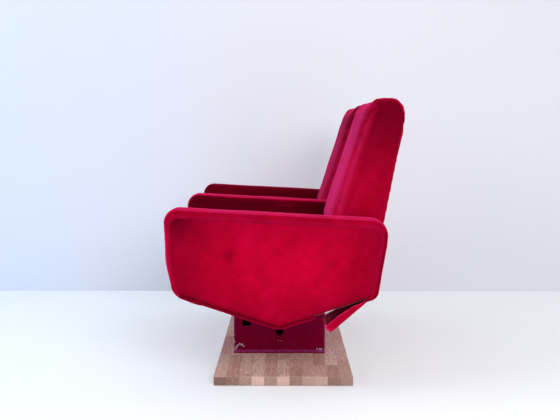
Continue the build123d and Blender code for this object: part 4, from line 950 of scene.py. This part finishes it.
def makeStaples():
    # Each staple is a bent wire: a flat crown against the core with two short legs out of it.
    count = bared["staples"]
    ys = np.linspace(bared["from"] + 0.012, bared["to"] - 0.006, count)
    rng = np.random.RandomState(41)
    ys += rng.uniform(-bared["stray"], bared["stray"], count)
    xs = armPlaces["left"] + rng.uniform(*bared["across"], count)
    tilts = rng.uniform(-bared["tilt"], bared["tilt"], count)
    half, wire, leg = bared["crown"] / 2, bared["wire"] / 2, bared["leg"]
    loopPath = np.array([(-half, leg), (-half, 0.0002), (half, 0.0002), (half, leg)])
    outwards = np.array([(-1, 0), (-0.7, -0.7), (0.7, -0.7), (1, 0)])
    ring = np.array([(-wire, -wire), (wire, -wire), (wire, wire), (-wire, wire)])
    blocks, faces = [], []
    for number in range(count):
        base = np.array([xs[number], ys[number], edgeHeight(ys[number], bared["stapleInset"])])
        forward = np.array([math.sin(tilts[number]), math.cos(tilts[number]), tear["slope"]])
        forward /= np.linalg.norm(forward)
        up = np.cross(np.array([1.0, 0, 0]), forward)
        side = np.cross(forward, up)
        rows = []
        for point, out in zip(loopPath, outwards):
            spot = base + forward * point[0] + up * point[1]
            rows.append([spot + (forward * out[0] + up * out[1]) * a[0] + side * a[1] for a in ring])
        first = number * 16
        blocks.append(np.array(rows).reshape(-1, 3))
        faces += [gridFaces(4, 4, columnsMeet=True, first=first),
                  np.array([[first, first + 1, first + 2, first + 3]]),
                  np.array([[first + 15, first + 14, first + 13, first + 12]])]
    return makePiece("tearStaples", np.concatenate(blocks), faces, zincSteel)


def makeLining():
    # A thin ragged ribbon of pale lining left along the panel's lower edge; its hang tapers off
    # towards the heel.
    along = np.linspace(bared["liningFrom"], bared["liningTo"], 120)
    across = np.linspace(0, 1, 10)
    y = np.repeat(along[:, None], 10, 1)
    seeds = np.stack([y, np.repeat(across[None], 120, 0) * 0.01, y * 0], 2)
    taper = 0.10 + 0.90 * smooth(y, bared["liningTo"], bared["liningFrom"] + 0.012)
    hang = bared["liningReach"] * taper * (0.75 + 0.25 * waves(seeds[:, :1], 0.010, 42)) * across[None]
    x = bared["liningX"] + bared["liningWave"] * waves(seeds, 0.02, 43) * across[None]
    z = edgeHeight(y, bared["liningInset"]) - np.maximum(hang, 0.0003 * across[None])
    ribbon = makePiece("tearLining", np.stack([x, y, z], 2), [gridFaces(120, 10)], liningCloth)
    thicken(ribbon, bared["liningThick"])
    return ribbon


finishPiece(makeStaples(), "frame", "zinc_steel")
finishPiece(makeLining(), "frame", "worn_velvet")
print("tear dressed")


# Cushions
seatPlace = {"left": 0.270, "right": -0.270}
seatPad = {
    "name": "SeatCushion", "voxel": 0.006, "shrink": 0.0045, "cap": 0.0095, "pressure": 4.0, "fill": 0.8,
    "wave": 0.0011, "ripple": 0.0004, "panTop": 0.328, "sideLimit": 0.2318,
    "seam": 0.427, "seamDepth": 0.0022, "seamReach": 0.0028, "rubAndSheen": 0.34, "paintedShade": 0.15,
    "seeds": {"left": 51, "right": 61},
}
backPad = {
    "name": "BackCushion", "voxel": 0.0055, "shrink": 0.0045, "cap": 0.0095, "pressure": 4.0, "fill": 0.8,
    "wave": 0.0011, "ripple": 0.0004, "sideLimit": 0.2318,
    "seam": 0.013, "seamDepth": 0.0016, "seamReach": 0.0024,
    "ridgeLift": 0.0082, "nosePush": 0.0026, "cornerFill": 0.0060, "rearFill": 0.0062,
    # Wear and painted sheen on the edges, painted sheen on the front, then amounts of painted shade.
    "edgeRubAndSheen": 0.06, "frontSheen": (0.25, 0.75), "topSheenLoss": 0.22,
    "sideShade": 0.33, "topShade": 0.50, "frontTopShade": 0.34, "edgeShade": 0.10,
    "frontShade": {"left": 0.0, "right": 0.40}, "seeds": {"left": 71, "right": 81},
}
coverPad = {
    "name": "BackCover", "voxel": 0.005, "shrink": 0.0008, "cap": 0.0040, "pressure": 2.5, "fill": 0.4,
    "wave": 0.0006, "seed": 91, "rearFill": 0.0034, "rubAndSheen": 0.24, "paintedShade": 0.10,
}
backLine = {"foot": 0.440, "frontY": 0.1161, "frontLean": 0.322, "rearY": 0.2910, "rearLean": 0.186}
frontWay, rearWay, slantWay = (0, 0.952, -0.306), (0, 0.983, -0.183), (0, 0.769, 0.639)


def padCopy(nodeName, name, voxel, material):
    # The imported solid's own form, merged and rebuilt as an even skin.
    piece = addObject(name, nodes[nodeName].data.copy())
    weld = piece.modifiers.new("weld", "WELD")
    weld.merge_threshold = 0.00001
    remesh = piece.modifiers.new("remesh", "REMESH")
    remesh.mode, remesh.voxel_size = "VOXEL", voxel
    soften = piece.modifiers.new("soften", "SMOOTH")
    soften.factor, soften.iterations = 0.5, 4
    applyModifiers(piece)
    piece.data.materials.clear()
    piece.data.materials.append(material)
    return piece


padCloth = {
    "quality": 4, "mass": 0.25, "air_damping": 2.0, "tension_stiffness": 12.0,
    "compression_stiffness": 12.0, "shear_stiffness": 8.0, "bending_stiffness": 0.6,
    "vertex_group_mass": "pins", "use_pressure": True,
}
clothFrames = 20


def inflate(piece, settings, free):
    # Draws the free skin in a little, then blows it up as cloth under pressure.  A point keeps at
    # most the cap of its way, times how free it is.
    start = readPoints(piece)
    drawn = start - readNormals(piece) * (settings["shrink"] * free)[:, None]
    writePoints(piece, drawn)
    pins = piece.vertex_groups.new(name="pins")
    level = np.round((1 - free) * 10).astype(int)
    for step in range(1, 11):
        pins.add(np.nonzero(level == step)[0].tolist(), step / 10, "REPLACE")
    cloth = piece.modifiers.new("cloth", "CLOTH")
    for key, value in padCloth.items():
        setattr(cloth.settings, key, value)
    cloth.settings.uniform_pressure_force = settings["pressure"]
    cloth.settings.effector_weights.gravity = 0.0
    cloth.collision_settings.use_collision = False
    cloth.point_cache.frame_start, cloth.point_cache.frame_end = 1, clothFrames
    for number in range(1, clothFrames + 1):
        scene.frame_set(number)
    blown = readPoints(piece.evaluated_get(bpy.context.evaluated_depsgraph_get()))
    piece.modifiers.remove(cloth)
    piece.vertex_groups.remove(pins)
    scene.frame_set(1)
    travel = blown - drawn
    size = np.linalg.norm(travel, axis=1)
    share = np.minimum(1, settings["cap"] * free / np.maximum(size, 1e-9))
    writePoints(piece, drawn + travel * share[:, None])
    print(piece.name, "blown up by up to", round(float((size * share).max()), 4))


def subdivide(piece):
    modifier = piece.modifiers.new("subdivide", "SUBSURF")
    modifier.levels = modifier.render_levels = 1
    applyModifiers(piece)


def squeezeSides(points, centre, limit):
    # Past a few millimetres inside the limit, sideways reach is taken up softly.
    reach = points[:, 0] - centre
    soft = 0.006
    over = np.maximum(np.abs(reach) - (limit - soft), 0)
    kept = np.minimum(np.abs(reach), limit - soft) + soft * np.tanh(over / soft)
    points[:, 0] = centre + np.sign(reach) * kept


def edgeRubAndSheen(normals, *axes):
    # 1 where the skin turns half way between the main faces, 0 on the faces.
    facing = np.max([np.abs(normals @ np.array(axis)) for axis in axes], axis=0)
    return smooth(1 - facing, 0.04, 0.26)


def depths(points):
    # Distances behind the back's front plane and in front of its rear plane.
    rise = points[:, 2] - backLine["foot"]
    front = points[:, 1] - backLine["frontY"] - backLine["frontLean"] * rise
    rear = backLine["rearY"] + backLine["rearLean"] * rise - points[:, 1]
    return front / math.hypot(1, backLine["frontLean"]), rear / math.hypot(1, backLine["rearLean"])


def dressSeat(piece, side):
    points, normals = readPoints(piece), readNormals(piece)
    upright = smooth(np.abs(normals[:, 2]), 0.85, 0.5)
    groove = bell(points[:, 2] - seatPad["seam"], seatPad["seamReach"]) * upright
    free = smooth(points[:, 2], seatPad["panTop"] + 0.002, seatPad["panTop"] + 0.02)
    push = free * softWaves(points, seatPad, 0.13, 0.04, seatPad["seeds"][side])
    points = points + normals * (push - seatPad["seamDepth"] * groove)[:, None]
    squeezeSides(points, seatPlace[side], seatPad["sideLimit"])
    points[:, 2] = np.maximum(points[:, 2], seatPad["panTop"] + 0.0003)
    writePoints(piece, points)
    # Edges lighten towards pink with wear and painted sheen, and the whole seat takes an even painted
    # shade.
    setRubSheenAndShade(piece, seatPad["rubAndSheen"] * edgeRubAndSheen(normals, (1, 0, 0), (0, 1, 0), (0, 0, 1)), seatPad["paintedShade"])


def softWaves(points, pad, waveSize, rippleSize, seed):
    return pad["wave"] * waves(points, waveSize, seed) + pad["ripple"] * waves(points, rippleSize, seed + 1)


def dressBack(piece, side):
    points, normals = readPoints(piece), readNormals(piece)
    centre = seatPlace[side]
    front, rear = depths(points)
    free = 1 - recessHold(points, centre)
    groove = bell(rear - backPad["seam"], backPad["seamReach"]) * smooth(front, 0.05, 0.08)
    push = softWaves(points, backPad, 0.14, 0.045, backPad["seeds"][side])
    points = points + normals * ((push - backPad["seamDepth"] * groove) * free)[:, None]
    squeezeSides(points, centre, backPad["sideLimit"])
    points = archTop(points, normals, free)
    writePoints(piece, points)
    setRubSheenAndShade(piece, *backSheenAndShade(points, normals, centre, backPad["frontShade"][side]))


def backSheenAndShade(points, normals, centre, frontShade):
    # The front is lightened towards pink as painted sheen, most of all in its inner part and less so
    # near the top and where it takes painted shade.  With painted shade the sides darken upwards, and
    # the top is darkest.
    height = points[:, 2]
    edges = edgeRubAndSheen(normals, (1, 0, 0), frontWay, rearWay, (0, 0, 1))
    sides = smooth(np.abs(normals[:, 0]), 0.35, 0.9)
    facing = smooth(-normals[:, 1], 0.66, 0.95)
    inner = smooth(points[:, 0] - centre, 0.225, 0.04)
    side = backPad["sideShade"] + 0.6 * frontShade + backPad["topShade"] * smooth(height, 0.62, 0.885)
    paintedShade = side * sides * (1 - facing) + backPad["topShade"] * 0.5 * smooth(normals[:, 2], 0.5, 0.9)
    paintedShade += (frontShade * (1.2 - 0.4 * inner) + backPad["edgeShade"] * (1 - inner)) * facing
    paintedShade += backPad["frontTopShade"] * smooth(height, 0.70, 0.87) * facing
    least, more = backPad["frontSheen"]
    pale = (least + more * inner) * (1 - 0.8 * frontShade)
    pale *= 1 - backPad["topSheenLoss"] * smooth(height, 0.74, 0.88)
    return backPad["edgeRubAndSheen"] * edges * (1 - facing) + pale * facing, paintedShade


def archTop(points, normals, free):
    # The top rises behind its ridge and is eased down before it, its rear corner is filled along
    # a slant, and the upper part of its rear is moved back.
    top = smooth(points[:, 2], 0.80, 0.87) * free
    behind = smooth(points[:, 1], 0.240, 0.285)
    slant = np.array(slantWay)
    corner = smooth(normals @ slant, 0.72, 0.99) * smooth(points[:, 2], 0.78, 0.83) * free
    rear = smooth(normals @ np.array(rearWay), 0.6, 0.95) * smooth(points[:, 2], 0.70, 0.80) * free
    moved = points + (backPad["cornerFill"] * corner)[:, None] * slant
    moved[:, 1] += backPad["rearFill"] * rear
    moved[:, 2] += top * (backPad["ridgeLift"] * behind - backPad["nosePush"] * (1 - behind))
    return moved


def dressCover(piece):
    points, normals = readPoints(piece), readNormals(piece)
    outside = smooth(depths(points)[1], 0.008, 0.002)
    points += normals * (coverPad["wave"] * waves(points, 0.12, coverPad["seed"]) * outside)[:, None]
    points[:, 1] += coverPad["rearFill"] * outside * smooth(points[:, 2], 0.68, 0.79)
    writePoints(piece, points)
    # Edges lighten towards pink with wear and painted sheen, and the whole cover takes an even painted
    # shade.
    setRubSheenAndShade(piece, coverPad["rubAndSheen"] * edgeRubAndSheen(normals, (1, 0, 0), rearWay, (0, 0, 1)), coverPad["paintedShade"])


def recessHold(points, centre=seatPlace["left"]):
    # 1 on the skin that lines the place of the board and the rear cover.
    rear, side = depths(points)[1], np.abs(points[:, 0] - centre)
    lining = smooth(rear, 0.050, 0.031) * smooth(side, 0.2225, 0.2172) * smooth(points[:, 2], 0.860, 0.842)
    return np.maximum(lining, 0.6 * smooth(points[:, 2], 0.450, 0.442))


def shiftedTwin(piece, name, shift):
    twin = addObject(name, piece.data.copy())
    writePoints(twin, readPoints(twin) + np.array([shift, 0, 0]))
    return twin


def makePads(kind, pad, material, holdOf):
    # The right one is a copy of the left one, moved over.
    left = padCopy("left_" + kind, "left" + pad["name"], pad["voxel"], material)
    inflate(left, pad, 1 - holdOf(readPoints(left)))
    subdivide(left)
    right = shiftedTwin(left, "right" + pad["name"], seatPlace["right"] - seatPlace["left"])
    return {"left": left, "right": right}


def seatHold(points):
    return smooth(points[:, 2], seatPad["panTop"] + 0.018, seatPad["panTop"] + 0.003)


def coverHold(points):
    return smooth(depths(points)[1], 0.004, 0.010)


seats = makePads("seat_cushion", seatPad, velvetSeat, seatHold)
backs = makePads("back_cushion", backPad, velvetBack, recessHold)
covers = makePads("back_cover", coverPad, velvetBack, coverHold)
for side in seatPlace:
    dressSeat(seats[side], side)
    dressBack(backs[side], side)
    dressCover(covers[side])
    finishPiece(seats[side], side + "_seat", "velvet", side + "_seat_cushion", fill=seatPad["fill"])
    finishPiece(backs[side], "frame", "velvet", side + "_back_cushion", fill=backPad["fill"])
    finishPiece(covers[side], "frame", "velvet", side + "_back_cover", fill=coverPad["fill"])
print("cushions made")


# Floor, wall and light
room = {
    "wallX": -0.970, "reach": 7.0, "wallHigh": 5.0,
    # Floor and wall darken and cool towards the front as painted shade.
    "floorColour": (0.80, 0.82, 0.84, 1), "coolShadedFloor": (0.67, 0.76, 0.86, 1), "floorLift": 0.27,
    "wallColour": (0.79, 0.80, 0.85, 1), "coolShadedWall": (0.66, 0.74, 0.88, 1), "wallLift": 0.08,
    "sky": (0.93, 0.95, 1.0, 1), "skyLevel": 0.62,
}
lamps = {
    "windowLight": {"place": (1.2, -2.6, 2.1), "target": (0, 0, 0.5), "size": 2.0, "power": 36.0,
                    "colour": (0.95, 0.96, 1.0)},
    "roomLight": {"place": (3.1, 1.0, 1.7), "target": (0, 0, 0.45), "size": 1.3, "power": 54.0,
                  "colour": (1.0, 0.98, 0.97)},
}


def makeStage(name, corners, colour, coolShade, lift, seeThrough):
    # Pale surface, cooler and darker towards its front as painted shade, and a little brighter to the
    # camera and in reflections; the wall lets the camera through from behind.
    material, tree, shader, place = newMaterial(name, Roughness=0.75, Specular_IOR_Level=0.2)
    coolShadeDrift = scaled(tree, noise(tree, place, 0.5, 2.0, 0.5), 0.3, alongAxis(tree, place, 1))
    rays = addNode(tree, "LightPath").outputs
    seen = maths(tree, "MAXIMUM", rays["Is Camera Ray"], rays["Is Glossy Ray"])
    seen = maths(tree, "MAXIMUM", seen, rays["Is Transmission Ray"])
    fillSockets(tree, shader, {
        "Base Color": blendColours(tree, between(tree, coolShadeDrift, 0.4, -1.5), colour, coolShade),
        "Emission Color": colour, "Emission Strength": scaled(tree, seen, lift),
    })
    if seeThrough:
        backSide = addNode(tree, "NewGeometry").outputs["Backfacing"]
        mix = addNode(tree, "MixShader", {0: backSide, 1: shader.outputs[0],
                                          2: addNode(tree, "BsdfTransparent").outputs[0]})
        output = next(node for node in tree.nodes if node.type == "OUTPUT_MATERIAL")
        fillSockets(tree, output, {0: mix.outputs[0]})
    mesh = bpy.data.meshes.new(name)
    mesh.from_pydata(corners, [], [[0, 1, 2, 3]])
    mesh.materials.append(material)
    addObject(name, mesh)


reach, wallX, high = room["reach"], room["wallX"], room["wallHigh"]
makeStage("floor", [(-reach, -reach, 0), (reach, -reach, 0), (reach, reach, 0), (-reach, reach, 0)],
          room["floorColour"], room["coolShadedFloor"], room["floorLift"], False)
makeStage("wall", [(wallX, -reach, 0), (wallX, reach, 0), (wallX, reach, high), (wallX, -reach, high)],
          room["wallColour"], room["coolShadedWall"], room["wallLift"], True)


for name, settings in lamps.items():
    lamp = addObject(name, bpy.data.lights.new(name, "AREA"))
    lamp.data.size, lamp.data.energy = settings["size"], settings["power"]
    lamp.data.color = settings["colour"]
    lamp.location = settings["place"]
    aim = Vector(settings["target"]) - Vector(settings["place"])
    lamp.rotation_euler = aim.to_track_quat("-Z", "Y").to_euler()
world = bpy.data.worlds.new("room")
world.use_nodes = True
fillSockets(world.node_tree, world.node_tree.nodes["Background"], {0: room["sky"], 1: room["skyLevel"]})
scene.world = world
print("room lit")
